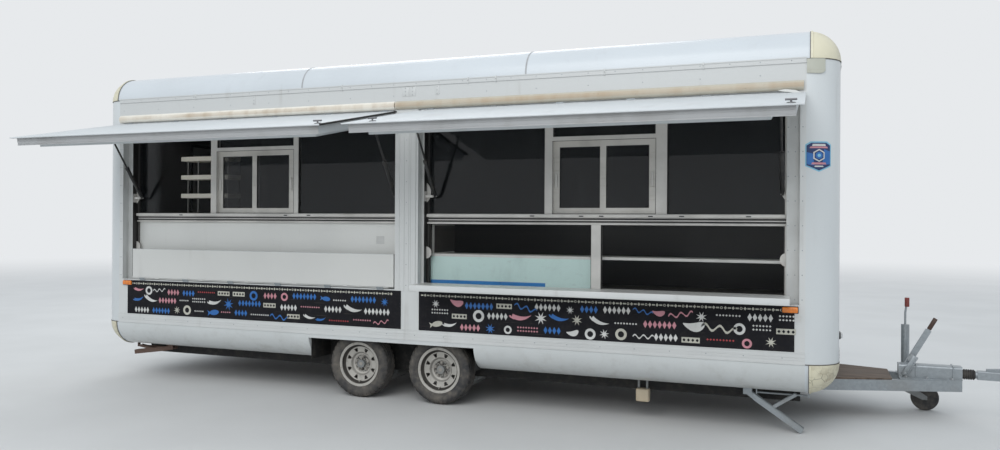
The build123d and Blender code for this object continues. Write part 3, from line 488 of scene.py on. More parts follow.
@dataclass(frozen=True)
class WheelPaint(Finish):
    """Silver wheel paint: painted shade with road dirt in the gutter of the rim, painted shade round the
    vents, and a mottled dark hub.
    """

    # Dark colour for the painted shade in the gutter and round the vents, with road dirt, and for the hub.
    dirt: Colour = (0.028, 0.024, 0.02)
    rust: Colour = (0.13, 0.06, 0.03)
    axles: Span = (-0.49, 0.238)
    height: float = 0.272
    vents: int = 8
    vent_radius: float = 0.118
    vent_half: float = 0.016
    gutter: Span = (0.1435, 0.161)
    ring: Span = (0.086, 0.098)
    hub: Span = (0.033, 0.07)

    def build(self, graph: Graph) -> None:
        """Lay the paint's nodes."""
        x, _, z = graph.axes()
        middle = sum(self.axles) / 2
        along = x - x.step(middle - 0.01, middle + 0.01) * (self.axles[1] - self.axles[0]) - self.axles[0]
        up = z - self.height
        radius = (along * along + up * up).root()
        turn = up.angle(along) * float(self.vents)
        lobe = (turn + pi / 2 - pi * self.vents * 22.5 / 180.0).wave()
        inner, outer = self.vent_radius - self.vent_half, self.vent_radius + self.vent_half
        flare = lobe + (radius - inner) * 15.0
        # Dark patches round the small vent holes: painted shade that makes them read larger.
        vent = flare.step(0.84, 0.96) * radius.between(inner, outer)
        gutter = radius.between(*self.gutter, 0.003)
        ring = radius.between(*self.ring, 0.006)
        hub = radius.between(*self.hub, 0.008)
        cloud = graph.noise(16.0, 6.0, roughness=0.65)
        mottled = graph.noise(75.0, 4.0).step(0.46, 0.56) * 0.7 + 0.35
        # Gutter and vents: painted shade with road dirt; hub and ring: darker, mottled on the hub.
        shade_and_grime = gutter * 1.3 + vent * 1.1 + hub * mottled + ring * 0.3
        soil = (shade_and_grime * (cloud * 0.6 + 0.7) + cloud.step(0.5, 0.75) * 0.35).capped()
        rusty = graph.noise(34.0, 6.0, roughness=0.7).step(0.6, 0.7) * 0.45
        tone = self.shaded(graph, 0.75, graph.noise(5.0, 4.0).step(0.35, 0.7))
        graph.finish({
            "Base Color": graph.mix(graph.mix(tone, self.rust, rusty), self.dirt, soil),
            "Metallic": (0.35 - soil * 0.35).capped(),
            "Roughness": soil * 0.3 + 0.45,
            "Normal": graph.bump(cloud - soil, 0.001, 0.4),
        })


@dataclass(frozen=True)
class Metal(Finish):
    """Galvanised or plain steel: spangled, dulled, rusty where it is old, or all over behind some x."""

    spangle: float = 0.25
    rust: float = 0.15
    metallic: float = 0.7
    roughness: float = 0.42
    rusted_behind: float | None = None
    brown: Colour = (0.085, 0.055, 0.042)
    orange: Colour = (0.16, 0.055, 0.02)
    dust_colour: Colour = (0.2, 0.18, 0.15)

    def build(self, graph: Graph) -> None:
        """Lay the steel's nodes."""
        flake = graph.node("ShaderNodeSeparateColor", {0: graph.cells(55.0)})
        cloud = graph.noise(6.0, 5.0)
        rusty = graph.noise(14.0, 8.0, roughness=0.7).step(0.6, 0.75) * self.rust
        dust = graph.noise(3.0, 4.0).step(0.45, 0.7) * 0.35
        tone = self.shaded(graph, 0.55, flake * self.spangle)
        if self.rusted_behind is not None:
            behind = 1.0 - graph.axes()[0].step(self.rusted_behind - 0.1, self.rusted_behind + 0.1)
            tone = graph.mix(tone, self.brown, behind * (cloud * 0.25 + 0.75))
            rusty = (rusty + behind * cloud * 0.6).capped()
        dusty = graph.mix(tone, self.dust_colour, dust)
        graph.finish({
            "Base Color": graph.mix(dusty, self.orange, rusty),
            "Metallic": (self.metallic - rusty * 0.8 - dust * 0.7).capped(),
            "Roughness": cloud * 0.2 + rusty * 0.3 + dust * 0.3 + (self.roughness - 0.1),
            "Normal": graph.bump(graph.noise(90.0, 3.0), 0.0008, 0.4),
        })


@dataclass(frozen=True)
class Enamel(Finish):
    """Plain paint or moulded plastic on a small fitting: slight clouds, dust and scratches."""

    roughness: float = 0.4
    dust: float = 0.15
    dust_colour: Colour = (0.25, 0.22, 0.18)
    metallic: float = 0.0
    specular: float = 0.5

    def build(self, graph: Graph) -> None:
        """Lay the paint's nodes."""
        cloud = graph.noise(8.0, 5.0)
        scratch = graph.noise(30.0, 3.0, (0.15, 1.0, 2.5)).step(0.66, 0.7)
        dusty = (graph.noise(20.0, 6.0, roughness=0.65).step(0.42, 0.8) * self.dust + scratch * 0.1).capped()
        tone = self.shaded(graph, 0.8, cloud.step(0.3, 0.8))
        graph.finish({
            "Base Color": graph.mix(tone, self.dust_colour, dusty),
            "Roughness": dusty * 0.4 + cloud * 0.1 + self.roughness,
            "Metallic": self.metallic,
            "Specular IOR Level": self.specular,
            "Normal": graph.bump(graph.noise(140.0, 3.0), 0.0005, 0.3),
        })


@dataclass(frozen=True)
class Rubber(Finish):
    """Tyre rubber with road dust, heavier on the tread and in the bead."""

    dust: float = 0.75
    dust_colour: Colour = (0.17, 0.15, 0.125)

    def build(self, graph: Graph) -> None:
        """Lay the rubber's nodes."""
        cloud = graph.noise(7.0, 6.0, roughness=0.6)
        streak = graph.noise(26.0, 5.0)
        dusty = (cloud.step(0.34, 0.72) * 0.75 + streak.step(0.45, 0.7) * 0.35) * self.dust
        graph.finish({
            "Base Color": graph.mix(self.colour, self.dust_colour, dusty.capped()),
            "Roughness": dusty * 0.2 + 0.68,
            "Normal": graph.bump(graph.noise(220.0, 4.0) + streak * 0.6, 0.0012, 0.5),
        })


@dataclass(frozen=True)
class Pane(Finish):
    """Window glass, near black and part opaque as painted shade of the cabin behind it, clearer below the
    sill and before the rack, with a film of dust and wiped smears.
    """

    # Opacity of the near-black glass: painted shade standing in for the dark cabin, thinned where the glass
    # is clearer.
    alpha: float = 0.46
    clearer: float = 0.39
    sill: float = 1.48
    rack: Span = (-2.66, -1.96)
    grey: Colour = (0.2, 0.2, 0.19)

    def build(self, graph: Graph) -> None:
        """Lay the glass's nodes."""
        x, _, z = graph.axes()
        smear = graph.noise(5.0, 5.0, (1.0, 1.0, 0.4), 0.6).step(0.5, 0.85)
        dust = graph.noise(70.0, 4.0).step(0.6, 0.9)
        film = smear * 0.1 + dust * 0.08
        clear = (1.0 - z.step(self.sill - 0.02, self.sill + 0.02)).most(x.between(*self.rack, 0.08))
        graph.finish({
            "Base Color": graph.mix(self.colour, self.grey, film),
            "Roughness": film * 0.5 + 0.03,
            "Alpha": (film + self.alpha - clear * self.clearer).capped(),
            "IOR": 1.5,
        })


@dataclass(frozen=True)
class Lens(Finish):
    """Coloured lamp lens with a moulded prism pattern."""

    def build(self, graph: Graph) -> None:
        """Lay the lens's nodes."""
        x, y, z = graph.axes()
        prism = ((x + y) * 900.0).wave() * (z * 900.0).wave()
        graph.finish({
            "Base Color": self.shaded(graph, 0.6, graph.noise(30.0).step(0.4, 0.8)),
            "Roughness": graph.noise(60.0) * 0.2 + 0.12,
            "Normal": graph.bump(prism, 0.0006, 0.5),
            "Coat Weight": 0.6,
        })


@dataclass(frozen=True)
class Timber(Finish):
    """Weathered plywood with its grain along x."""

    blotch: Colour = (0.09, 0.08, 0.07)

    def build(self, graph: Graph) -> None:
        """Lay the wood's nodes."""
        grain = graph.noise(6.0, 8.0, (0.5, 9.0, 9.0), 0.65)
        blot = graph.noise(3.0, 5.0)
        tone = self.shaded(graph, 0.45, grain.step(0.4, 0.65))
        graph.finish({
            "Base Color": graph.mix(tone, self.blotch, blot.step(0.45, 0.75) * 0.6),
            "Roughness": grain * 0.2 + 0.65,
            "Normal": graph.bump(grain, 0.002, 0.6),
        })


@dataclass(frozen=True)
class Ground(Finish):
    """The plain pale floor, which runs into the backdrop's colour well away from the trailer."""

    fade: Span = (7.0, 30.0)

    def build(self, graph: Graph) -> None:
        """Lay the floor's nodes."""
        x, y, _ = graph.axes()
        cloud = graph.noise(0.8, 4.0)
        surface = graph.node("ShaderNodeBsdfPrincipled", {
            "Base Color": self.shaded(graph, 0.94, cloud.step(0.3, 0.7)),
            "Roughness": cloud * 0.1 + 0.75,
            "Normal": graph.bump(graph.noise(60.0), 0.001, 0.2),
        })
        far = (x * x + y * y).root().step(*self.fade)
        glow = graph.node("ShaderNodeEmission", {"Color": BACKDROP, "Strength": 1.0})
        graph.close(graph.node("ShaderNodeMixShader", {0: far * graph.seen(), 1: surface, 2: glow}))


# These three paint the faces inside the cabin dark as painted shade; the door's inner face gets a lighter
# painted shade.
WHITE = Gelcoat("white_gelcoat", (0.58, 0.605, 0.61), shaded_inside=True)
DOOR = Gelcoat("door_gelcoat", (0.58, 0.605, 0.61), shaded_inside=True, inside_shade=(0.26, 0.26, 0.25))
# The roof's bluer tint is painted sky light on the top surfaces; no road splash there is real.
ROOF = Gelcoat("roof_gelcoat", (0.57, 0.605, 0.63), splash=0.0, runs=0.12, shaded_inside=True)
SKIRT = Gelcoat("skirt_gelcoat", (0.58, 0.60, 0.595), splash=0.4, runs=0.08)
# Painted shade: above 2.33 m these extrusions are painted darker.
EXTRUSION = Gelcoat("white_extrusion", (0.60, 0.61, 0.60), runs=0.3, splash=0.3, gloss=0.38, upper=0.87)
TRIM = Gelcoat("white_trim", (0.58, 0.59, 0.58), runs=0.2, splash=0.2, gloss=0.38)
FLAP = Gelcoat("flap_gelcoat", (0.61, 0.61, 0.585), runs=0.12)
# A lighter copy of the flap gelcoat: painted light on the infill panel.
INFILL = Gelcoat("infill_gelcoat", (0.70, 0.70, 0.67), runs=0.12)
HATCH = HatchSkin("hatch_gelcoat", (0.56, 0.585, 0.595))
CREAM = AgedPlastic("cream_caps", (0.66, 0.62, 0.47), stains=0.55, cracks=0.9)
PALE_CREAM = AgedPlastic("pale_cream_patch", (0.44, 0.445, 0.38), stains=0.4)
COVER = HingeCover("cream_covers", (0.80, 0.77, 0.69))
PROFILE = AgedPlastic("window_profile", (0.62, 0.60, 0.565), (0.25, 0.2, 0.15), stains=0.12)
SASH = AgedPlastic("sash_profile", (0.60, 0.575, 0.53), (0.25, 0.2, 0.15), stains=0.15)
WINDOW_FRAME = Jamb("window_frame_profile", (0.62, 0.60, 0.565))
LINING = Jamb("bay_lining", (0.58, 0.585, 0.57))
GALVANISED = Metal("galvanised", (0.33, 0.36, 0.38))
STEADY = Metal("steady_steel", (0.33, 0.36, 0.38), rusted_behind=-1.0)
OLD_STEEL = Metal("old_steel", (0.25, 0.26, 0.26), rust=0.7, metallic=0.5)
HUB_STEEL = Metal("hub_steel", (0.33, 0.31, 0.28), rust=0.7, metallic=0.25, roughness=0.5)
WHEEL = WheelPaint("wheel_paint", (0.47, 0.45, 0.41))
FRAME_GREY = Metal("hatch_frame_grey", (0.47, 0.475, 0.48), spangle=0.05, rust=0.02, metallic=0.3)
BRIGHT = Metal("bright_metal", (0.5, 0.51, 0.52), spangle=0.0, rust=0.05, metallic=0.9, roughness=0.3)
TYRE = Rubber("tyre_rubber", (0.028, 0.028, 0.03))
SEAL = Rubber("black_seal", (0.012, 0.012, 0.013), dust=0.15)
GAITER = Rubber("black_gaiter", (0.015, 0.015, 0.016), dust=0.3)
# Near-black glass tint: painted shade of the cabin behind it.
GLASS = Pane("window_glass", (0.012, 0.014, 0.016))
BLACK_BOARD = Enamel("black_board", (0.008, 0.008, 0.011), roughness=0.68, dust=0.04, specular=0.2)
# Grey line of painted shade in the seam at each cap's edge.
CAP_SEAM_SHADE = Enamel("joint_sealant", (0.17, 0.17, 0.165), roughness=0.6, dust=0.3)
JOINT_GREY = Enamel("joint_grey", (0.40, 0.41, 0.42), roughness=0.6, dust=0.35)
# Dark line of painted shadow under each cap's rim.
CAP_RIM_SHADOW = Enamel("cap_sealant", (0.055, 0.05, 0.04), roughness=0.6, dust=0.3)
PRINT_WHITE = Enamel("print_white", (0.62, 0.62, 0.60), roughness=0.35, dust=0.2)
PRINT_PALE = Enamel("print_pale", (0.50, 0.49, 0.42), roughness=0.35, dust=0.25)
PRINT_ROSE = Enamel("print_rose", (0.55, 0.24, 0.28), roughness=0.35, dust=0.1)
PRINT_RED = Enamel("print_red", (0.36, 0.035, 0.04), roughness=0.35, dust=0.1)
PRINT_BLUE = Enamel("print_blue", (0.012, 0.13, 0.42), roughness=0.35, dust=0.1)
STRUT_BLACK = Enamel("strut_black", (0.01, 0.01, 0.011), roughness=0.3, dust=0.2)
# On the chassis frame this black is painted shade: it stands in for the deep shade under the floor.
CHASSIS_BLACK = Enamel("chassis_black", (0.012, 0.012, 0.012), roughness=0.7, dust=0.16)
COUNTER = Counter("display_counter", (0.74, 0.73, 0.69))
BEIGE = Enamel("beige_box", (0.50, 0.42, 0.30), roughness=0.5, dust=0.3)
GRIP_RED = Enamel("grip_red", (0.20, 0.025, 0.02), roughness=0.4, dust=0.15)
GRIP_BROWN = Enamel("grip_brown", (0.06, 0.03, 0.02), roughness=0.6, dust=0.3)
ORANGE = Lens("orange_lens", (0.85, 0.22, 0.01))
RED_LENS = Lens("red_lens", (0.38, 0.01, 0.01))
CLEAR_LENS = Lens("clear_lens", (0.55, 0.56, 0.56))
PLYWOOD = Timber("plywood", (0.16, 0.115, 0.085))


def about(middle: float, half: float) -> Span:
    """A span about its middle."""
    return middle - half, middle + half


def across(side: int, near: float, far: float) -> Span:
    """A span of y on one long side, +1 or -1, from its two distances to the middle."""
    low, high = sorted((side * near, side * far))
    return low, high


@dataclass
class Bench:
    """A modelling bench: Blender's primitives and edit tools, used as by hand, in the trailer's datum."""

    datum: Vector

    def rest(self) -> None:
        """Leave edit mode with nothing selected."""
        if bpy.context.object and bpy.context.object.mode != "OBJECT":
            bpy.ops.object.mode_set(mode="OBJECT")
        bpy.ops.object.select_all(action="DESELECT")

    def take(self, piece: Piece) -> None:
        """Make a piece the one that operators act on."""
        self.rest()
        piece.select_set(True)
        bpy.context.view_layer.objects.active = piece

    def named(self, name: str) -> Piece:
        """Name the primitive just added and move its place into its mesh."""
        piece = bpy.context.active_object
        piece.name = name
        piece.data.name = name
        bpy.ops.object.transform_apply(location=True, rotation=True, scale=True)
        return piece

    def here(self, x: float, y: float, z: float) -> Vector:
        """A place of the trailer in the frame."""
        return self.datum + Vector((x, y, z))

    @contextmanager
    def editing(self, piece: Piece, kind: str = "FACE", pick: Callable | None = None) -> Iterator[None]:
        """Edit a piece with some of its elements selected.

        Args:
            piece: The piece.
            kind: VERT, EDGE or FACE.
            pick: Says of an element whether it is selected; all are if it is left out.
        """
        self.take(piece)
        bpy.ops.object.mode_set(mode="EDIT")
        bpy.ops.mesh.select_mode(type=kind)
        bpy.ops.mesh.select_all(action="DESELECT" if pick else "SELECT")
        if pick:
            mesh = bmesh.from_edit_mesh(piece.data)
            elements = {"VERT": mesh.verts, "EDGE": mesh.edges, "FACE": mesh.faces}[kind]
            for element in elements:
                if pick(element):
                    element.select_set(True)
            mesh.select_flush_mode()
            bmesh.update_edit_mesh(piece.data)
        yield
        bpy.ops.object.mode_set(mode="OBJECT")

    def block(self, name: str, x: Span, y: Span, z: Span, bevel: float = 0.002, segments: int = 2) -> Piece:
        """A bevelled block.

        Args:
            name: The block's name.
            x: Its low and high x.
            y: Its low and high y.
            z: Its low and high z.
            bevel: The bevel of its edges.
            segments: How many faces the bevel has.

        Returns:
            The block.
        """
        self.rest()
        middle = self.here(*((low + high) / 2 for low, high in (x, y, z)))
        bpy.ops.mesh.primitive_cube_add(size=1.0, location=middle)
        bpy.context.active_object.scale = tuple(high - low for low, high in (x, y, z))
        piece = self.named(name)
        if bevel:
            with self.editing(piece):
                bpy.ops.mesh.bevel(offset=bevel, segments=segments, affect="EDGES")
        return piece

    def rod(
        self,
        name: str,
        start: Point,
        end: Point,
        radius: float,
        sides: int = 24,
        bevel: float = 0.0,
        tip: float | None = None,
    ) -> Piece:
        """A round bar between two places, bevelled at its ends.

        Args:
            name: The bar's name.
            start: The middle of one end.
            end: The middle of the other end.
            radius: Its radius.
            sides: How many sides its section has.
            bevel: The bevel of its end edges.
            tip: Its radius at the other end, if that differs.

        Returns:
            The bar.
        """
        self.rest()
        low, high = self.here(*start), self.here(*end)
        run = high - low
        bpy.ops.mesh.primitive_cone_add(
            vertices=sides,
            radius1=radius,
            radius2=radius if tip is None else tip,
            depth=run.length,
            location=(low + high) / 2,
            rotation=run.to_track_quat("Z", "Y").to_euler(),
        )
        piece = self.named(name)
        if bevel:
            with self.editing(piece, "FACE", lambda face: len(face.verts) > 4):
                bpy.ops.mesh.bevel(offset=bevel, segments=2, affect="EDGES")
        return piece

    def line(self, name: str, points: Sequence[Vector]) -> Piece:
        """A drawn line of edges: one vertex, extruded from point to point."""
        self.rest()
        bpy.ops.mesh.primitive_plane_add(size=0.01, location=points[0])
        piece = self.named(name)
        with self.editing(piece, "VERT"):
            bpy.ops.mesh.merge(type="CENTER")
            for before, after in zip(points, points[1:]):
                bpy.ops.mesh.extrude_region_move(TRANSFORM_OT_translate={"value": after - before})
        return piece

    def turned(
        self,
        name: str,
        profile: Sequence[Point],
        centre: Point,
        axis: Point,
        steps: int,
        angle: float = 2 * pi,
    ) -> Piece:
        """A turned piece: a drawn profile spun about an axis.

        Args:
            name: The piece's name.
            profile: The places of the profile, in order.
            centre: A place on the axis.
            axis: The axis's direction.
            steps: How many steps the turn has.
            angle: How far it turns.

        Returns:
            The piece.
        """
        piece = self.line(name, [self.here(*point) for point in profile])
        with self.editing(piece, "VERT"):
            bpy.ops.mesh.spin(steps=steps, angle=angle, center=self.here(*centre), axis=axis)
            bpy.ops.mesh.select_all(action="SELECT")
            bpy.ops.mesh.remove_doubles(threshold=1e-5)
            bpy.ops.mesh.normals_make_consistent(inside=False)
        return piece

    def sheet(self, name: str, outline: Sequence[Point], thickness: Vector) -> Piece:
        """A flat sheet: a drawn outline, filled and extruded by its thickness."""
        piece = self.line(name, [self.here(*point) for point in outline])
        with self.editing(piece, "VERT"):
            bpy.ops.mesh.edge_face_add()
            bpy.ops.mesh.extrude_region_move(TRANSFORM_OT_translate={"value": thickness})
            bpy.ops.mesh.select_all(action="SELECT")
            bpy.ops.mesh.normals_make_consistent(inside=False)
        return piece

    def cut(self, piece: Piece, stations: Iterable[float]) -> None:
        """Cut a piece's faces across at each x, so that it can bend there."""
        for x in stations:
            with self.editing(piece):
                bpy.ops.mesh.bisect(plane_co=self.here(x, 0, 0), plane_no=(1, 0, 0))

    def join(self, name: str, pieces: Iterable[Piece]) -> Piece:
        """Join pieces into one."""
        pieces = list(pieces)
        self.take(pieces[0])
        for piece in pieces[1:]:
            piece.select_set(True)
        if len(pieces) > 1:
            bpy.ops.object.join()
        pieces[0].name = name
        pieces[0].data.name = name
        return pieces[0]

    def copied(self, piece: Piece) -> Piece:
        """A copy of a piece with its own mesh, in the same place."""
        self.take(piece)
        bpy.ops.object.duplicate(linked=False)
        return bpy.context.active_object

    def row(self, piece: Piece, count: int, step: Point) -> Piece:
        """Repeat a piece along a step with an array that is then applied."""
        self.take(piece)
        array = piece.modifiers.new("row", "ARRAY")
        array.count = count
        array.use_relative_offset = False
        array.use_constant_offset = True
        array.constant_offset_displace = step
        bpy.ops.object.modifier_apply(modifier=array.name)
        return piece

    def turn(self, piece: Piece, centre: Point, turn: Matrix) -> None:
        """Turn or mirror a piece about a place of the trailer."""
        middle = Matrix.Translation(self.here(*centre))
        piece.data.transform(middle @ turn @ middle.inverted())

    def ring(self, piece: Piece, count: int, centre: Point) -> Piece:
        """Repeat a piece round a level axis across the trailer."""
        copies = [piece]
        for index in range(1, count):
            copy = self.copied(piece)
            self.turn(copy, centre, Matrix.Rotation(2 * pi * index / count, 4, "Y"))
            copies.append(copy)
        return self.join(piece.name, copies)

    def mirrored(self, piece: Piece, axis: int) -> Piece:
        """A mirror copy of a piece across the trailer's middle, its faces turned out again."""
        copy = self.copied(piece)
        scale = Matrix.Identity(4)
        scale[axis][axis] = -1.0
        self.turn(copy, (0, 0, 0), scale)
        copy.data.flip_normals()
        return copy

    def done(
        self, piece: Piece, finish: Finish, body: str = "root", slot: str | None = None, angle: float = 35.0
    ) -> Piece:
        """Finish a piece: smooth it, dress it and let it ride on its body.

        Args:
            piece: The piece, at the origin with its place in its mesh.
            finish: Its finish.
            body: The body of the frame that carries it.
            slot: A material slot of the record; not used.
            angle: Edges flatter than this many degrees are smoothed.

        Returns:
            The same piece.
        """
        self.take(piece)
        bpy.ops.object.shade_smooth_by_angle(angle=radians(angle))
        piece.data.materials.clear()
        piece.data.materials.append(dressed(finish))
        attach(piece, body)
        LOG.info("%s: %d faces on %s", piece.name, len(piece.data.polygons), body)
        return piece

    def fit(
        self, name: str, pieces: Iterable[Piece], finish: Finish, slot: str, body: str = "root"
    ) -> Piece:
        """Join pieces and finish them as one."""
        return self.done(self.join(name, pieces), finish, body, slot)


@dataclass
class Works:
    """What every sub-assembly is given: the frame and the bench."""

    frame: dict
    bench: Bench

    def dress(self, finishes: dict[str, Finish]) -> None:
        """Give nodes of the frame their finishes."""
        for node, finish in finishes.items():
            piece = self.frame["nodes"][node]
            piece.data.materials.clear()
            piece.data.materials.append(dressed(finish))

    def build(self) -> None:
        """Make the sub-assembly's pieces."""
        raise NotImplementedError


@dataclass
class Shell(Works):
    """The body's skin: finishes of its panels, joint strips over the rolls, caps, rivets and the emblem."""

    seam_x: float = 2.972
    seam_y: float = 0.934
    roll: float = 0.216
    low: float = 0.515
    high: float = 2.561
    face: float = -1.15
    plate: Span = (1.1495, 1.1525)
    plate_proud: float = 0.0024
    joints: Span = (-0.989, 0.994)
    cap_laps: Point = (-0.024, 0.006, 0.002)
    cap_proud: float = 0.003
    cap_wall: float = 0.0026
    vent_x: float = 1.72
    vent_heights: Span = (0.80, 2.20)
    lock: Span = (0.038, 1.02)
    drip_width: Span = (-0.07, 0.81)
    emblem_middle: Span = (0.082, 1.905)

    finishes: dict[str, Finish] = field(default_factory=lambda: {
        "roof_edges": ROOF,
        "roof_panel": ROOF,
        "corner_caps": ROOF,
        "corner_posts": WHITE,
        "plain_walls": WHITE,
        "rear_wall": WHITE,
        "serving_wall": EXTRUSION,
        "floor_edges": SKIRT,
        "floor_panel": PLYWOOD,
        "body_mouldings": EXTRUSION,
        "entry_door": DOOR,
        "hinge_eyes": GALVANISED,
        "wheel_boxes": CHASSIS_BLACK,
        "hinge_covers": COVER,
    })

    @property
    def top(self) -> float:
        """The height of the roof's skin."""
        return self.high + self.roll

    @property
    def rear(self) -> float:
        """The x of the rear wall's skin."""
        return -self.seam_x - self.roll

    def build(self) -> None:
        """Dress the skin and make its small pieces."""
        self.dress(self.finishes)
        self.joint_strips()
        self.wall_joints()
        self.vents()
        self.roof_hatch()
        self.door_trim()
        self.door_lock()
        self.door_surround()
        self.caps()
        self.cap_seams()
        self.moulding_plates()
        self.torn_cover()
        self.rivets()
        self.emblem()
        self.cap_patch()

    def arc_strip(
        self, name: str, x: float, width: float, side: int, centre_z: float, up: int, proud: float
    ) -> Piece:
        """A thin strip bent over a side roll.

        Args:
            name: The strip's name.
            x: Its station along the body.
            width: Its width along the body.
            side: +1 or -1 for the long side.
            centre_z: The height of the roll's centre.
            up: +1 for an upper roll and -1 for a lower one.
            proud: How far it stands off the roll.

        Returns:
            The strip.
        """
        inner, outer = self.roll + 0.0002, self.roll + proud
        half = width / 2
        section = ((-half, inner), (-half, outer), (half, outer), (half, inner), (-half, inner))
        y = side * self.seam_y
        profile = [(x + dx, y, centre_z + up * radius) for dx, radius in section]
        return self.bench.turned(name, profile, (x, y, centre_z), (side * up, 0, 0), 16, pi / 2)

    def joint_strips(self) -> None:
        """The thin strips that cover the butt joints of the rolls."""
        width, proud = 0.012, 0.0016
        over = (self.top, self.top + proud)
        strips = []
        for x in self.joints:
            strips += [self.arc_strip("strip", x, width, side, self.high, 1, proud) for side in (-1, 1)]
            strips.append(self.bench.block("strip", about(x, width / 2), about(0, self.seam_y), over, 0.0))
        self.bench.fit("roof_joint_strips", strips, JOINT_GREY, "white_panel")

    def wall_joints(self) -> None:
        """The riveted strips over the panel joints of the plain side."""
        bench = self.bench
        half, height = 0.0225, (0.602, 2.528)
        rivet_half, lowest, count, pitch = 0.014, 0.66, 13, 0.15
        strips, heads = [], []
        for x in self.joints:
            strips.append(bench.block("strip", about(x, half), self.plate, height, 0.001))
            for rivet_x in about(x, rivet_half):
                first = self.rivet(rivet_x, lowest, 1, self.plate_proud)
                heads.append(bench.row(first, count, (0, 0, pitch)))
        bench.fit("wall_joint_strips", strips, TRIM, "white_panel")
        bench.fit("wall_joint_rivets", heads, GALVANISED, "galvanised")

    def louvre(self, x: float, z: float) -> tuple[list[Piece], Piece]:
        """One louvred vent on the plain side: a sunk frame with a row of tilted slats over a dark back.

        Args:
            x: The vent's middle along the body.
            z: The vent's middle height.

        Returns:
            The frame and slats, and the dark back.
        """
        bench = self.bench
        half_x, half_z, rim, back_rim = 0.19, 0.12, 0.022, 0.023
        lowest, count, pitch, lean = 0.034 - half_z, 9, 0.0215, radians(-38)
        frame = bench.block("frame", about(x, half_x), (1.149, 1.162), about(z, half_z), 0.003)
        with bench.editing(frame, "FACE", lambda face: face.normal.y > 0.99 and face.calc_area() > 0.05):
            bpy.ops.mesh.inset(thickness=rim)
            bpy.ops.mesh.extrude_region_move(TRANSFORM_OT_translate={"value": (0, -0.0095, 0)})
        slat = bench.block("slat", about(x, half_x - rim), (1.150, 1.170), about(z, 0.001), 0.0004, 1)
        bench.turn(slat, (x, 1.156, z), Matrix.Rotation(lean, 4, "X"))
        slat.data.transform(Matrix.Translation((0, 0, lowest)))
        slats = bench.row(slat, count, (0, 0, pitch))
        back = bench.block(
            "back", about(x, half_x - back_rim), (1.1525, 1.1532), about(z, half_z - back_rim), 0.0
        )
        return [frame, slats], back

    def vents(self) -> None:
        """The low and the high vent of the plain side, with a screw in each corner."""
        bench = self.bench
        shells, backs = [], []
        for z in self.vent_heights:
            parts, back = self.louvre(self.vent_x, z)
            shells += parts
            backs.append(back)
            for screw_x, screw_z in product(about(self.vent_x, 0.178), about(z, 0.108)):
                foot, head = (screw_x, 1.1615, screw_z), (screw_x, 1.1632, screw_z)
                shells.append(bench.rod("screw", foot, head, 0.004, 10, tip=0.003))
        bench.fit("side_vents", shells, TRIM, "white_panel")
        bench.fit("side_vent_backs", backs, SEAL, "rubber")

    def roof_hatch(self) -> None:
        """The low vent hatch in the roof: a flange and a lid with a raised middle."""
        bench = self.bench
        outer, inner = about(0, 0.235), about(0, 0.2)
        flange = bench.block("flange", outer, outer, (self.top - 0.001, self.top + 0.005))
        lid = bench.block("lid", inner, inner, (self.top + 0.003, self.top + 0.042), 0.012, 3)
        with bench.editing(lid, "FACE", lambda face: face.normal.z > 0.99 and face.calc_area() > 0.05):
            bpy.ops.mesh.inset(thickness=0.035)
            bpy.ops.mesh.extrude_region_move(TRANSFORM_OT_translate={"value": (0, 0, 0.012)})
            bpy.ops.mesh.inset(thickness=0.012)
        bench.fit("roof_vent", [flange, lid], TRIM, "white_panel")

    def framed(
        self, name: str, depth: Span, outer: tuple[Span, Span], inner: tuple[Span, Span], bevel: float
    ) -> list[Piece]:
        """Four blocks that frame the doorway.

        Args:
            name: The name of each block.
            depth: Their low and high x.
            outer: The y and z that they reach out to.
            inner: The y and z that they leave open.
            bevel: Their bevel.

        Returns:
            The two uprights, the head and the foot.
        """
        (left, right), upright = outer
        level, (open_low, open_high) = inner
        low, high = upright
        boxes = (
            ((left, level[0]), upright),
            ((level[1], right), upright),
            (level, (open_high, high)),
            (level, (low, open_low)),
        )
        return [self.bench.block(name, depth, y, z, bevel) for y, z in boxes]

    def door_trim(self) -> None:
        """The trim round the door's edge."""
        skin = (self.rear - 0.0025, self.rear + 0.001)
        outer, inner = ((-0.0135, 0.7535), (0.5215, 2.2435)), ((0.0105, 0.7295), (0.5455, 2.2195))
        trims = self.framed("trim", skin, outer, inner, 0.001)
        self.bench.fit("door_edge_trim", trims, TRIM, "white_panel", "entry_door")

    def door_lock(self) -> None:
        """The door's round lock with its keyway."""
        bench, x = self.bench, self.rear
        y, z = self.lock
        rose = bench.rod("rose", (x + 0.001, y, z), (x - 0.006, y, z), 0.021, 28, 0.0015)
        plug = bench.rod("plug", (x - 0.005, y, z), (x - 0.010, y, z), 0.012, 24, 0.001)
        slit = bench.block("door_keyway", (x - 0.0105, x - 0.0095), about(y, 0.0008), about(z, 0.007), 0.0)
        bench.fit("door_lock", [rose, plug], BRIGHT, "galvanised", "entry_door")
        bench.done(slit, SEAL, "entry_door", "rubber")

    def door_surround(self) -> None:
        """The drip rail above the doorway and the stops round it, inside the wall."""
        bench, x = self.bench, self.rear
        rail = [bench.block("rail", depth, self.drip_width, z, 0.001) for depth, z in (
            ((x - 0.016, x + 0.001), (2.266, 2.270)),
            ((x - 0.018, x - 0.015), (2.264, 2.282)),
            ((x - 0.003, x + 0.001), (2.264, 2.296)),
        )]
        bench.fit("door_drip_rail", rail, TRIM, "white_panel")
        outer, inner = ((-0.036, 0.776), (0.505, 2.262)), ((-0.004, 0.744), (0.532, 2.234))
        stops = self.framed("stop", (x + 0.0405, x + 0.052), outer, inner, 0.002)
        bench.fit("door_stops", stops, SEAL, "rubber")

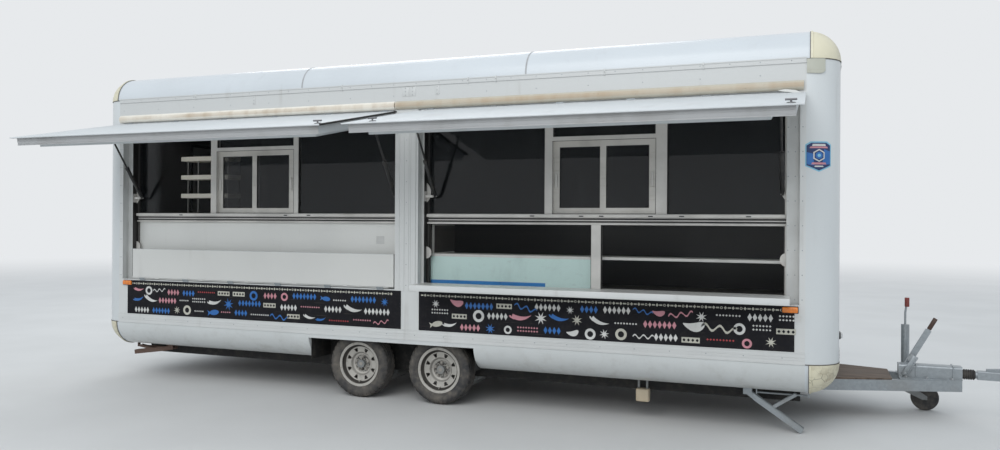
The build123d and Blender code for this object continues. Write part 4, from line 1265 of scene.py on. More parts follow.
    def caps(self) -> None:
        """Eight moulded corner caps that lap a little over the rolls."""
        bench = self.bench
        name = "corner_cap_shells"
        radius = self.roll + self.cap_proud
        centre = bench.here(self.seam_x, self.seam_y, self.high)
        bench.rest()
        bpy.ops.mesh.primitive_uv_sphere_add(segments=64, ring_count=32, radius=radius, location=centre)
        cap = bench.named(name)
        for normal, lap in zip(Matrix.Identity(3), self.cap_laps):
            with bench.editing(cap):
                bpy.ops.mesh.bisect(plane_co=centre - normal * lap, plane_no=normal, clear_inner=True)
        bench.take(cap)
        shell = cap.modifiers.new("shell", "SOLIDIFY")
        shell.thickness = self.cap_wall
        shell.offset = -1
        bpy.ops.object.modifier_apply(modifier=shell.name)
        with bench.editing(cap, "EDGE", lambda edge: edge.calc_face_angle(0.0) > radians(60)):
            bpy.ops.mesh.bevel(offset=0.0008, segments=2, affect="EDGES")
        below = bench.copied(cap)
        flip = Matrix.Translation((0, 0, self.high + self.low)) @ Matrix.Diagonal((1, 1, -1, 1))
        below.data.transform(flip)
        below.data.flip_normals()
        caps = bench.join(name, [cap, below])
        for axis in (0, 1):
            mirror = bench.mirrored(caps, axis)
            caps = bench.join(name, [caps, mirror])
        bench.done(caps, CREAM, slot="cream_plastic")

    def cap_seams(self) -> None:
        """The raised bead along each cap's edge, with a line of painted shade in the seam beside it, and a
        line of painted shadow under its rim.
        """
        bench = self.bench
        edge = self.seam_x - self.cap_laps[0]
        beads, lines, rims = [], [], []
        for end, side, (centre_z, up) in product((-1, 1), (-1, 1), ((self.high, 1), (self.low, -1))):
            beads.append(self.arc_strip("bead", end * (edge + 0.009), 0.013, side, centre_z, up, 0.0062))
            # Painted shade: a grey line in the seam at the cap's edge.
            lines.append(self.arc_strip("line", end * (edge - 0.001), 0.005, side, centre_z, up, 0.0033))
            # Painted shadow: a dark line under the cap's rim.
            rim = centre_z - up * (self.cap_laps[2] + 0.005)
            rims.append(self.rim_line(end, side, rim, rim + up * 0.0055))
        bench.fit("cap_beads", beads, CREAM, "cream_plastic")
        bench.fit("cap_seam_lines", lines, CAP_SEAM_SHADE, "cream_plastic")
        bench.fit("cap_rim_lines", rims, CAP_RIM_SHADOW, "cream_plastic")

    def rim_line(self, end: int, side: int, low: float, high: float) -> Piece:
        """A thin level line round one corner post, painted shadow under a cap's rim."""
        x, y = end * self.seam_x, side * self.seam_y
        inner, outer = self.roll + 0.0002, self.roll + 0.0034
        section = ((inner, low), (outer, low), (outer, high), (inner, high), (inner, low))
        profile = [(x, y + side * radius, z) for radius, z in section]
        return self.bench.turned("rim", profile, (x, y, 0), (0, 0, -end * side), 16, -pi / 2)

    def moulding_plates(self) -> None:
        """Riveted joint plates of the upper moulding, and the small clamps along it."""
        bench = self.bench
        plates, heads = [], []
        for side in (-1, 1):
            skin, rib = across(side, *self.plate), across(side, 1.1495, 1.158)
            for x0, x1 in ((-1.49, -1.46), (-0.045, 0.014), (0.017, 0.075), (0.247, 0.277)):
                plates.append(bench.block("plate", (x0, x1), skin, (2.452, 2.527), 0.0012))
                for z in (2.462, 2.49, 2.518):
                    heads.append(self.rivet((x0 + x1) / 2, z, side, self.plate_proud))
            for x in (-2.1, -0.6, 0.524, 0.755, 1.6, 2.3):
                plates.append(bench.block("clamp", about(x, 0.005), rib, (2.526, 2.574), 0.001))
                heads.append(self.rivet(x, 2.55, side, 0.0078))
        bench.fit("moulding_plates", plates, EXTRUSION, "white_panel")
        bench.fit("plate_rivets", heads, OLD_STEEL, "galvanised")

    def torn_cover(self) -> None:
        """The split end of the front hinge cover, curled off its edge."""
        bench = self.bench
        start, length, curl = 2.79, 0.16, 0.012
        outline = [
            (start, 2.352), (2.84, 2.358), (2.90, 2.349), (2.945, 2.33),
            (2.952, 2.300), (2.925, 2.318), (2.88, 2.334), (2.82, 2.343),
        ]
        flap = bench.sheet("torn_cover_end", [(x, -1.1745, z) for x, z in outline], Vector((0, 0.0018, 0)))
        bench.cut(flap, (2.84, 2.88, 2.91, 2.935))
        for vertex in flap.data.vertices:
            reach = (vertex.co.x - bench.datum.x - start) / length
            vertex.co.y -= curl * reach * reach
        bench.done(flap, FLAP, slot="cream_plastic")

    def rivet(self, x: float, z: float, side: int = -1, proud: float = 0.0) -> Piece:
        """A domed rivet head on a long side."""
        y = side * (-self.face + proud)
        return self.bench.rod("rivet", (x, y, z), (x, y + side * 0.0012, z), 0.004, 8, tip=0.0022)

    def rivets(self) -> None:
        """Rows of rivets on the mouldings, the pillar, the end strips and the lower rail."""
        bench = self.bench
        rows = []
        half = self.seam_x - 0.05
        long_rows = ((2.55, 0.003, 0.2), (0.5565, 0.003, 0.25), (2.46, 0.0, 0.4))
        for side, (z, proud, pitch) in product((-1, 1), long_rows):
            count = int(2 * half / pitch) + 1
            rows.append(bench.row(self.rivet(-half, z, side, proud), count, (pitch, 0, 0)))
        uprights = ((-0.002, 0.003), (2.86, 0.0), (2.905, 0.0), (2.952, 0.0), (-2.945, 0.0), (-2.96, 0.0))
        lowest, count, pitch = 0.95, 9, 0.165
        for x, proud in uprights:
            rows.append(bench.row(self.rivet(x, lowest, -1, proud), count, (0, 0, pitch)))
        bench.fit("rivet_rows", rows, GALVANISED, "galvanised")

    def wrap(self, piece: Piece) -> None:
        """Bend a piece drawn flat beyond the front right post round that post."""
        centre = self.bench.here(self.seam_x, -self.seam_y, 0)
        flat_y = self.bench.here(0, self.face, 0).y
        for vertex in piece.data.vertices:
            radius = self.roll + (flat_y - vertex.co.y)
            turn = (vertex.co.x - centre.x) / self.roll
            vertex.co.x = centre.x + radius * sin(turn)
            vertex.co.y = centre.y - radius * cos(turn)

    def post_plate(
        self,
        name: str,
        outline: Iterable[Span],
        proud: float,
        finish: Finish,
        slot: str,
        thick: float = 0.0006,
    ) -> None:
        """A thin plate on the front right post, drawn flat, cut fine and wrapped.

        Args:
            name: The plate's name.
            outline: Its corners, by distance round the post and height.
            proud: How far its face stands off the post.
            finish: Its finish.
            slot: Its material slot.
            thick: Its thickness.
        """
        bench = self.bench
        points = [(self.seam_x + x, self.face - proud, z) for x, z in outline]
        plate = bench.sheet(name, points, Vector((0, thick, 0)))
        bench.cut(plate, [self.seam_x + 0.025 * index for index in range(1, 12)])
        self.wrap(plate)
        bench.done(plate, finish, slot=slot)

    def emblem_plate(self, name: str, outline: Iterable[Span], proud: float, finish: Finish) -> None:
        """One plate of the emblem, its outline given about the emblem's middle."""
        x0, z0 = self.emblem_middle
        corners = [(x0 + x, z0 + z) for x, z in outline]
        self.post_plate(f"emblem_{name}", corners, proud, finish, "white_panel")

    def emblem(self) -> None:
        """A plain blue shield with a hexagon and bands, on the front right post."""
        pale = Enamel("emblem_light", (0.22, 0.50, 0.66), roughness=0.3, dust=0.05)
        navy = Enamel("emblem_navy", (0.008, 0.03, 0.12), roughness=0.3, dust=0.05)
        blue = Enamel("emblem_blue", (0.02, 0.14, 0.42), roughness=0.3, dust=0.05)
        half_height = 0.1015
        shield = (
            (-0.088, 0.8), (-0.055, 1.0), (0.055, 1.0), (0.088, 0.8),
            (0.088, -0.62), (0.0, -1.0), (-0.088, -0.62),
        )
        for name, scale, proud, finish in (("edge", 1.0, 0.0012, pale), ("field", 0.91, 0.0018, navy)):
            self.emblem_plate(name, [(x * scale, z * half_height * scale) for x, z in shield], proud, finish)
        glow_right = ((0.022, -0.055), (0.078, -0.05), (0.078, 0.035), (0.035, 0.05))
        glow_left = ((-0.078, -0.05), (-0.03, -0.058), (-0.04, 0.02), (-0.078, 0.03))
        self.emblem_plate("glow_right", glow_right, 0.0022, blue)
        self.emblem_plate("glow_left", glow_left, 0.0022, blue)
        raised = 0.008
        for name, radius, sides, proud, finish in (
            ("hexagon", 0.043, 6, 0.0026, PRINT_WHITE),
            ("disc", 0.034, 6, 0.0031, navy),
            ("ring", 0.024, 20, 0.0036, blue),
            ("dot", 0.011, 12, 0.0041, pale),
        ):
            turns = [2 * pi * (i + 0.5) / sides for i in range(sides)]
            outline = [(radius * cos(turn), raised + radius * sin(turn)) for turn in turns]
            self.emblem_plate(name, outline, proud, finish)
        for name, low, high, half, finish in (
            ("band_top", 0.070, 0.084, 0.046, PRINT_WHITE),
            ("band_upper", 0.056, 0.067, 0.062, PRINT_ROSE),
            ("band_lower", -0.052, -0.039, 0.05, PRINT_ROSE),
            ("band_foot", -0.069, -0.060, 0.03, PRINT_WHITE),
        ):
            corners = ((-half, low), (half, low), (half * 0.9, high), (-half * 0.9, high))
            self.emblem_plate(name, corners, 0.0026, finish)

    def cap_patch(self) -> None:
        """The pale patch under the top cap of the front right post."""
        patch = (
            (0.002, 2.556), (0.118, 2.556), (0.118, 2.475), (0.105, 2.463), (0.085, 2.458), (0.002, 2.462)
        )
        self.post_plate("cap_patch", patch, 0.009, PALE_CREAM, "cream_plastic", 0.0085)


class Motif(Enum):
    """The plain ornaments printed on the black boards."""

    RING = "ring"
    STAR = "star"
    LEAF = "leaf"
    WAVE = "wave"
    PEPPER = "pepper"
    FISH = "fish"
    DIAMOND = "diamond"
    BAR = "bar"

    def outline(self) -> list[Span]:
        """The motif's outline, about one unit across."""
        turns = [2 * pi * i / 20 for i in range(20)]
        if self is Motif.RING:
            circle = [2 * pi * i / 18 for i in range(19)]
            outer = [(0.5 * cos(a), 0.5 * sin(a)) for a in circle]
            inner = [(0.27 * cos(a), 0.27 * sin(a) - 1e-4) for a in reversed(circle)]
            return outer + inner
        if self is Motif.STAR:
            radii = [0.5 if i % 2 else 0.17 for i in range(16)]
            return [(radius * cos(pi * i / 8), radius * sin(pi * i / 8)) for i, radius in enumerate(radii)]
        if self is Motif.LEAF:
            return [(0.5 * cos(a), 0.2 * sin(a) * (1 + 0.5 * cos(a)) + 0.16 * cos(a) ** 2) for a in turns]
        if self is Motif.WAVE:
            top = [(-0.8 + 0.08 * i, 0.14 * sin(0.08 * i * 2 * pi * 1.5) + 0.05) for i in range(21)]
            return top + [(x, z - 0.11) for x, z in reversed(top)]
        if self is Motif.PEPPER:
            spine = [(i / 10 - 0.5, 0.28 * (i / 10 - 0.5) ** 2 * 2) for i in range(11)]
            top = [(x, z + 0.13 * (1 - (i / 10) ** 2)) for i, (x, z) in enumerate(spine)]
            base = [(x, z - 0.11 * (1 - (i / 10) ** 2)) for i, (x, z) in enumerate(spine)]
            stem = [(-0.5, 0.0), (-0.66, 0.1), (-0.7, 0.2), (-0.62, 0.2), (-0.55, 0.12)]
            return stem + top[:-1] + base[::-1][:-1]
        if self is Motif.FISH:
            end = pi - 0.35
            body = [(0.42 * cos(a) + 0.08, 0.2 * sin(a)) for a in [end - 2 * end * i / 16 for i in range(17)]]
            return body + [(-0.55, -0.2), (-0.46, 0.0), (-0.55, 0.2)]
        if self is Motif.DIAMOND:
            return [(-0.5, 0.0), (0.0, 0.24), (0.5, 0.0), (0.0, -0.24)]
        return [(-0.5, -0.1), (0.5, -0.1), (0.5, 0.1), (-0.5, 0.1)]


@dataclass(frozen=True)
class PrintRow:
    """One row of motifs on a board: its share of the height, mean spacing and motif sizes."""

    up: float
    pitch: float
    least: float
    most: float


@dataclass
class SignBoards(Works):
    """The two black boards: a plain printed pattern of food ornaments, with no lettering."""

    boards: tuple[Span, ...] = ((-2.865, -0.046), (0.114, 2.905))
    height: Span = (0.600, 0.905)
    surface: float = -1.154
    film: float = 0.0006
    rows: tuple[PrintRow, ...] = (
        PrintRow(0.71, 0.150, 0.085, 0.115),
        PrintRow(0.44, 0.165, 0.105, 0.155),
        PrintRow(0.16, 0.145, 0.080, 0.120),
    )
    border_pitch: float = 0.026
    seed: int = 11
    inks: dict[str, Finish] = field(default_factory=lambda: {
        "white": PRINT_WHITE,
        "pale": PRINT_PALE,
        "rose": PRINT_ROSE,
        "blue": PRINT_BLUE,
        "red": PRINT_RED,
        "dark": BLACK_BOARD,
    })

    def build(self) -> None:
        """Print both boards."""
        self.dress({"sign_boards": BLACK_BOARD})
        chance = Random(self.seed)
        prints: dict[str, list[Piece]] = {ink: [] for ink in self.inks}
        for left, right in self.boards:
            prints["pale"] += self.border(left, right)
            for row in self.rows:
                x = left + 0.07 + chance.uniform(0.0, 0.05)
                while x < right - 0.08:
                    x = self.item(prints, chance, x, row)
        for ink, pieces in prints.items():
            self.bench.fit(f"board_print_{ink}", pieces, self.inks[ink], "black_board")

    def level(self, up: float) -> float:
        """The height at a share of the boards' height."""
        low, high = self.height
        return low + up * (high - low)

    def item(self, prints: dict[str, list[Piece]], chance: Random, x: float, row: PrintRow) -> float:
        """Print one motif, or a run of small marks, or a chequered band.

        Args:
            prints: The pieces so far by ink.
            chance: The seeded source of the layout.
            x: Where the item starts.
            row: The row that it stands in.

        Returns:
            Where the next item starts.
        """
        z = self.level(row.up + chance.uniform(-0.035, 0.035))
        kind = chance.random()
        if kind < 0.24:
            step = 0.034
            ink = chance.choice(("white", "blue", "white", "blue", "rose"))
            count = chance.randint(4, 7)
            mark = self.printed(Motif.DIAMOND, (x + 0.01, z), 0.030, 0.115)
            prints[ink].append(self.bench.row(mark, count, (step, 0, 0)))
            return x + count * step + 0.035
        if kind < 0.42:
            step = 0.0215
            ink = chance.choice(("white", "red", "white", "rose"))
            count = chance.randint(5, 9)
            for line in range(chance.choice((1, 1, 2))):
                mark = self.printed(Motif.DIAMOND, (x, z + 0.026 * line), 0.016, 0.032)
                prints[ink].append(self.bench.row(mark, count, (step, 0, 0)))
            return x + count * step + 0.035
        if kind < 0.50:
            prints["pale"].append(self.printed(Motif.BAR, (x + 0.045, z), 0.125, 0.19))
            gap = self.printed(Motif.DIAMOND, (x, z), 0.022, 0.05, films=2.0)
            prints["dark"].append(self.bench.row(gap, 4, (0.03, 0, 0)))
            return x + 0.16
        size = chance.uniform(row.least, row.most)
        motif = chance.choice([shape for shape in Motif if shape not in (Motif.BAR, Motif.DIAMOND)])
        if motif in (Motif.RING, Motif.STAR):
            size *= 0.72
        ink = chance.choice(("white", "white", "blue", "white", "pale", "blue", "rose"))
        turn = radians(chance.uniform(-16, 16))
        prints[ink].append(self.printed(motif, (x + size / 2, z), size, size, turn))
        return x + max(size, row.pitch * chance.uniform(0.6, 0.95)) + 0.02

    def printed(
        self, motif: Motif, centre: Span, width: float, height: float, turn: float = 0.0, films: float = 1.0
    ) -> Piece:
        """One motif as a thin film on a board, or on the film under it.

        Args:
            motif: The ornament.
            centre: Its x and z.
            width: Its scale along the board.
            height: Its scale up the board.
            turn: How far it is turned.
            films: How many films thick it is.

        Returns:
            The print.
        """
        points = []
        for u, v in motif.outline():
            u, v = u * width, v * height
            x, z = u * cos(turn) - v * sin(turn), u * sin(turn) + v * cos(turn)
            points.append((centre[0] + x, self.surface, centre[1] + z))
        return self.bench.sheet("print", points, Vector((0, -self.film * films, 0)))

    def border(self, left: float, right: float) -> list[Piece]:
        """A row of small marks along the top edge of a board."""
        z = self.level(0.91)
        order = (Motif.BAR, Motif.DIAMOND, Motif.BAR, Motif.RING, Motif.DIAMOND)
        run = self.border_pitch * len(order)
        marks = []
        for index, motif in enumerate(order):
            width, height = (0.018, 0.018) if motif is Motif.RING else (0.021, 0.05)
            mark = self.printed(motif, (left + 0.03 + index * self.border_pitch, z), width, height)
            marks.append(self.bench.row(mark, int((right - left - 0.05) / run), (run, 0, 0)))
        return marks


@dataclass(frozen=True)
class Bay:
    """One window bay: its opening, its sliding unit, the mullions beside that and its low posts."""

    opening: Span
    slide: Span
    before: float
    after: float
    posts: Span | None = None


@dataclass
class Windows(Works):
    """The glazing of the two bays: seals round the panes, sill and drip strips, sash grips and the infill."""

    front: float = -1.025
    bays: tuple[Bay, ...] = (
        Bay((-2.882, -0.125), (-1.969, -1.157), 0.066, 0.048),
        Bay((0.12, 2.849), (1.173, 1.95), 0.064, 0.083, (1.475, 1.547)),
    )
    opening: Span = (0.935, 2.325)
    edge: float = 0.012
    rail: Span = (1.44, 1.521)
    transom: Span = (2.073, 2.105)
    stile: float = 0.046
    track_depths: Span = (0.027, 0.003)
    drains: tuple[float, ...] = (-1.22, -0.987, -2.35, 1.017, 1.403, 1.556, 1.92, 2.142, 2.6)

    def build(self) -> None:
        """Dress the windows and make their small pieces."""
        self.dress({
            "window_frames": WINDOW_FRAME,
            "window_sashes": SASH,
            "window_glass": GLASS,
            "bay_linings": LINING,
            "infill_panel": INFILL,
            "serving_counter": COUNTER,
        })
        seals, strips = [], []
        for bay in self.bays:
            for x, z in self.panes(bay):
                seals += self.seal(x, z, (self.front + 0.006, self.front + 0.024))
            for x, z, y in self.sash_panes(bay):
                seals += self.seal(x, z, y)
            strips += self.drips(bay)
        self.bench.fit("glazing_seals", seals, SEAL, "rubber")
        self.bench.fit("drip_strips", strips, SEAL, "rubber")
        self.sills()
        self.grips()
        self.gaps()
        self.label()

    def panes(self, bay: Bay) -> list[tuple[Span, Span]]:
        """The fixed panes of a bay, each as its x and z."""
        left, right = bay.opening[0] + self.edge, bay.opening[1] - self.edge
        low, high = self.opening[0] + self.edge, self.opening[1] - self.edge
        start, end = bay.slide
        panes = [
            ((left, start - bay.before), (self.rail[1], high)),
            ((end + bay.after, right), (self.rail[1], high)),
            ((start, end), (self.transom[1], high)),
        ]
        if bay.posts:
            first, second = bay.posts
            panes += [((left, first), (low, self.rail[0])), ((second, right), (low, self.rail[0]))]
        return panes

    def sash_panes(self, bay: Bay) -> list[tuple[Span, Span, Span]]:
        """The panes of a bay's two sliding sashes, each as its x, z and y."""
        start, end = bay.slide
        middle, half = (start + end) / 2, self.stile / 2
        height = (self.rail[1] + self.stile, self.transom[0] - self.stile)
        panes = []
        for (x0, x1), depth in zip(((start, middle + half), (middle - half, end)), self.track_depths):
            track = self.front + depth
            panes.append(((x0 + self.stile, x1 - self.stile), height, (track + 0.001, track + 0.007)))
        return panes

    def seal(self, x: Span, z: Span, y: Span) -> list[Piece]:
        """Four black seal strips round a pane."""
        lip = 0.005
        (x0, x1), (z0, z1) = x, z
        sides = ((x, (z0, z0 + lip)), (x, (z1 - lip, z1)), ((x0, x0 + lip), z), ((x1 - lip, x1), z))
        return [self.bench.block("seal", side, y, height, 0.001, 1) for side, height in sides]

    def drips(self, bay: Bay) -> list[Piece]:
        """The two worn black strips in a bay's sill rail."""
        x = (bay.opening[0] + 0.004, bay.opening[1] - 0.004)
        strips = []
        for z, proud in ((1.478, 0.004), (1.458, 0.005)):
            y = (self.front - proud, self.front + 0.002)
            strips.append(self.bench.block("drip", x, y, (z, z + 0.011), 0.001, 1))
        return strips

    def sills(self) -> None:
        """The white sill lip along the top of the sill rail and its foot strip."""
        lips = []
        for bay in self.bays:
            x = (bay.opening[0] + 0.003, bay.opening[1] - 0.003)
            back = self.front + 0.001
            lips.append(self.bench.block("lip", x, (self.front - 0.022, back), (1.494, 1.52), 0.005, 3))
            lips.append(self.bench.block("lip", x, (self.front - 0.008, back), (1.441, 1.454), 0.003))
        self.bench.fit("sill_lips", lips, PROFILE, "white_frame")

    def grips(self) -> None:
        """A small pull grip on each sliding sash."""
        inset, height = 0.022, (1.72, 1.83)
        grips = []
        for bay in self.bays:
            start, end = bay.slide
            for x, depth in ((start + inset, 0.026), (end - inset, 0.002)):
                y = (self.front + depth - 0.011, self.front + depth + 0.002)
                grips.append(self.bench.block("grip", about(x, 0.008), y, height, 0.004, 3))
        self.bench.fit("sash_grips", grips, PROFILE, "white_frame")

    def gaps(self) -> None:
        """Dark shadow gaps round the sliding units, and the drain slots in the sill."""
        bench = self.bench
        wide = 0.003
        depth = (self.front - 0.0006, self.front + 0.004)
        low, high = self.rail[1] + 0.001, self.transom[0] + 0.001
        strips = []
        for bay in self.bays:
            start, end = bay.slide
            for x in (start - 0.0035, end + 0.0005):
                strips.append(bench.block("gap", (x, x + wide), depth, (low, high), 0.0))
            for z in (low, high - wide):
                strips.append(bench.block("gap", bay.slide, depth, (z, z + wide), 0.0))
        depth = (self.front - 0.0245, self.front - 0.020)
        strips += [bench.block("slot", about(x, 0.017), depth, (1.501, 1.509), 0.001) for x in self.drains]
        bench.fit("window_gaps", strips, SEAL, "rubber")

    def label(self) -> None:
        """The blank sheet stuck on the rear infill panel."""
        low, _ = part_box("infill_panel")
        face = low.y - self.bench.datum.y
        depth = (face - 0.0008, face + 0.001)
        paper = self.bench.block("blank_sheet", (-0.356, -0.281), depth, (1.271, 1.336), 0.0)
        self.bench.done(paper, PRINT_WHITE, slot="white_panel")


@dataclass
class Hatches(Works):
    """The raised hatches: lips, frame profiles, seals, washers and strut sleeves, and the flaps below."""

    hinge: Span = (-1.16, 2.336)
    drop: float = radians(11.7)
    reach: float = 1.137
    lip: float = 0.035
    spans: dict[str, Span] = field(
        default_factory=lambda: {"rear": (-2.958, -0.077), "front": (0.089, 2.970)}
    )
    handles: dict[str, tuple[float, ...]] = field(
        default_factory=lambda: {"rear": (-0.147,), "front": (0.279, 2.9)}
    )
    struts: dict[str, Span] = field(
        default_factory=lambda: {"rear": (-2.797, -0.152), "front": (0.205, 2.822)}
    )
    strut_foot: Span = (-1.055, 1.66)
    strut_way: Span = (-0.5651, 0.8250)

    @property
    def tip(self) -> float:
        """The y of the skin's free edge, with the hatch level."""
        return self.hinge[0] - self.reach

    def build(self) -> None:
        """Dress and trim the hatches and flaps."""
        for end in self.spans:
            self.dress({
                f"{end}_hatch": HATCH,
                f"{end}_flap": FLAP,
                f"{end}_strut_barrels": STRUT_BLACK,
                f"{end}_strut_rods": STRUT_BLACK,
            })
            self.skin_lip(end)
            self.frame_profile(end)
            self.seals(end)
            self.washers(end)
            self.flap_trim(end)
            self.strut_sleeves(end)
        self.dress({"strut_brackets": PROFILE})

    def raised(self, end: str, name: str, pieces: list[Piece], finish: Finish, slot: str) -> None:
        """Join pieces drawn with the hatch level, turn them to its place and finish them."""
        piece = self.bench.join(f"{end}_hatch_{name}", pieces)
        self.bench.turn(piece, (0, *self.hinge), Matrix.Rotation(self.drop, 4, "X"))
        self.bench.done(piece, finish, f"{end}_hatch", slot)

    def skin_lip(self, end: str) -> None:
        """The thin rolled lip round the skin."""
        (x0, x1), (y, z), tip = self.spans[end], self.hinge, self.tip
        height = (z - 0.007, z + 0.001)
        boxes = (
            ((x0, x1), (tip - 0.002, tip + 0.006)),
            ((x0 - 0.0015, x0 + 0.006), (tip, y - 0.02)),
            ((x1 - 0.006, x1 + 0.0015), (tip, y - 0.02)),
        )
        lips = [self.bench.block("lip", x, depth, height, 0.0015) for x, depth in boxes]
        self.raised(end, "lip", lips, HATCH, "white_panel")

    def frame_profile(self, end: str) -> None:
        """The grey profile on the frame's front."""
        (x0, x1), z = self.spans[end], self.hinge[1]
        face, longest = self.tip + self.lip, 2.927
        x = (x0 + self.lip, min(x1 - self.lip, longest))
        rails = []
        for low, high, proud in (
            (-0.0675, -0.060, 0.004),
            (-0.060, -0.014, 0.0015),
            (-0.036, -0.033, 0.0035),
            (-0.014, -0.005, 0.004),
        ):
            depth = (face - proud, face + 0.001)
            rails.append(self.bench.block("rail", x, depth, (z + low, z + high), 0.001))
        self.raised(end, "frame_profile", rails, FRAME_GREY, "white_panel")

    def seals(self, end: str) -> None:
        """The rubber seal under the lip of the skin, thicker at the rear hatch's right end."""
        (x0, x1), (y, z), tip = self.spans[end], self.hinge, self.tip
        bench = self.bench
        height = (z - 0.0085, z - 0.003)
        boxes = (
            ((x0 + 0.008, x1 - 0.008), (tip + 0.008, tip + 0.027)),
            ((x0 + 0.008, x0 + 0.024), (tip + 0.010, y - 0.03)),
            ((x1 - 0.024, x1 - 0.008), (tip + 0.010, y - 0.03)),
        )
        parts = [bench.block("seal", x, depth, height) for x, depth in boxes]
        if end == "rear":
            x, depth = (x1 - 0.004, x1 + 0.006), (tip - 0.001, y - 0.03)
            parts.append(bench.block("seal", x, depth, (z - 0.0085, z + 0.005), 0.003))
        self.raised(end, "seal", parts, SEAL, "rubber")

    def washers(self, end: str) -> None:
        """The rubber washers under the turn handles on the skin."""
        y, z = self.tip + 0.09, self.hinge[1]
        washers = []
        for x in self.handles[end]:
            foot, top = (x, y, z - 0.0005), (x, y, z + 0.0022)
            washers.append(self.bench.rod("washer", foot, top, 0.0245, 24, 0.001))
        self.raised(end, "washers", washers, SEAL, "rubber")

    def flap_trim(self, end: str) -> None:
        """Edge trim of a flap, drawn where the flap rests."""
        low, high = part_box(f"{end}_flap")
        low, high = low - self.bench.datum, high - self.bench.datum
        x = (low.x + 0.002, high.x - 0.002)
        if end == "front":
            trim = self.bench.block(f"{end}_flap_trim", x, (low.y - 0.002, low.y + 0.004), (0.934, 0.977))
        else:
            top = (high.z - 0.004, high.z + 0.0015)
            trim = self.bench.block(f"{end}_flap_trim", x, (-1.151, -1.106), top, 0.001)
        self.bench.done(trim, EXTRUSION, f"{end}_flap", "white_panel")

    def along(self, x: float, reach: float) -> Point:
        """A place on the line of the strut at x, at a distance from its foot."""
        (y, z), (way_y, way_z) = self.strut_foot, self.strut_way
        return (x, y + way_y * reach, z + way_z * reach)

    def strut_sleeves(self, end: str) -> None:
        """The thick plastic sleeve, end collar and foot over each strut's barrel."""
        sleeves = []
        for x in self.struts[end]:
            for name, start, stop, radius, sides, bevel in (
                ("sleeve", 0.022, 0.318, 0.0158, 28, 0.002),
                ("collar", 0.300, 0.331, 0.0185, 28, 0.003),
                ("foot", 0.014, 0.040, 0.0125, 24, 0.002),
            ):
                low, high = self.along(x, start), self.along(x, stop)
                sleeves.append(self.bench.rod(name, low, high, radius, sides, bevel))
        self.bench.fit(f"{end}_strut_sleeves", sleeves, STRUT_BLACK, "dark_steel", f"{end}_strut_barrels")


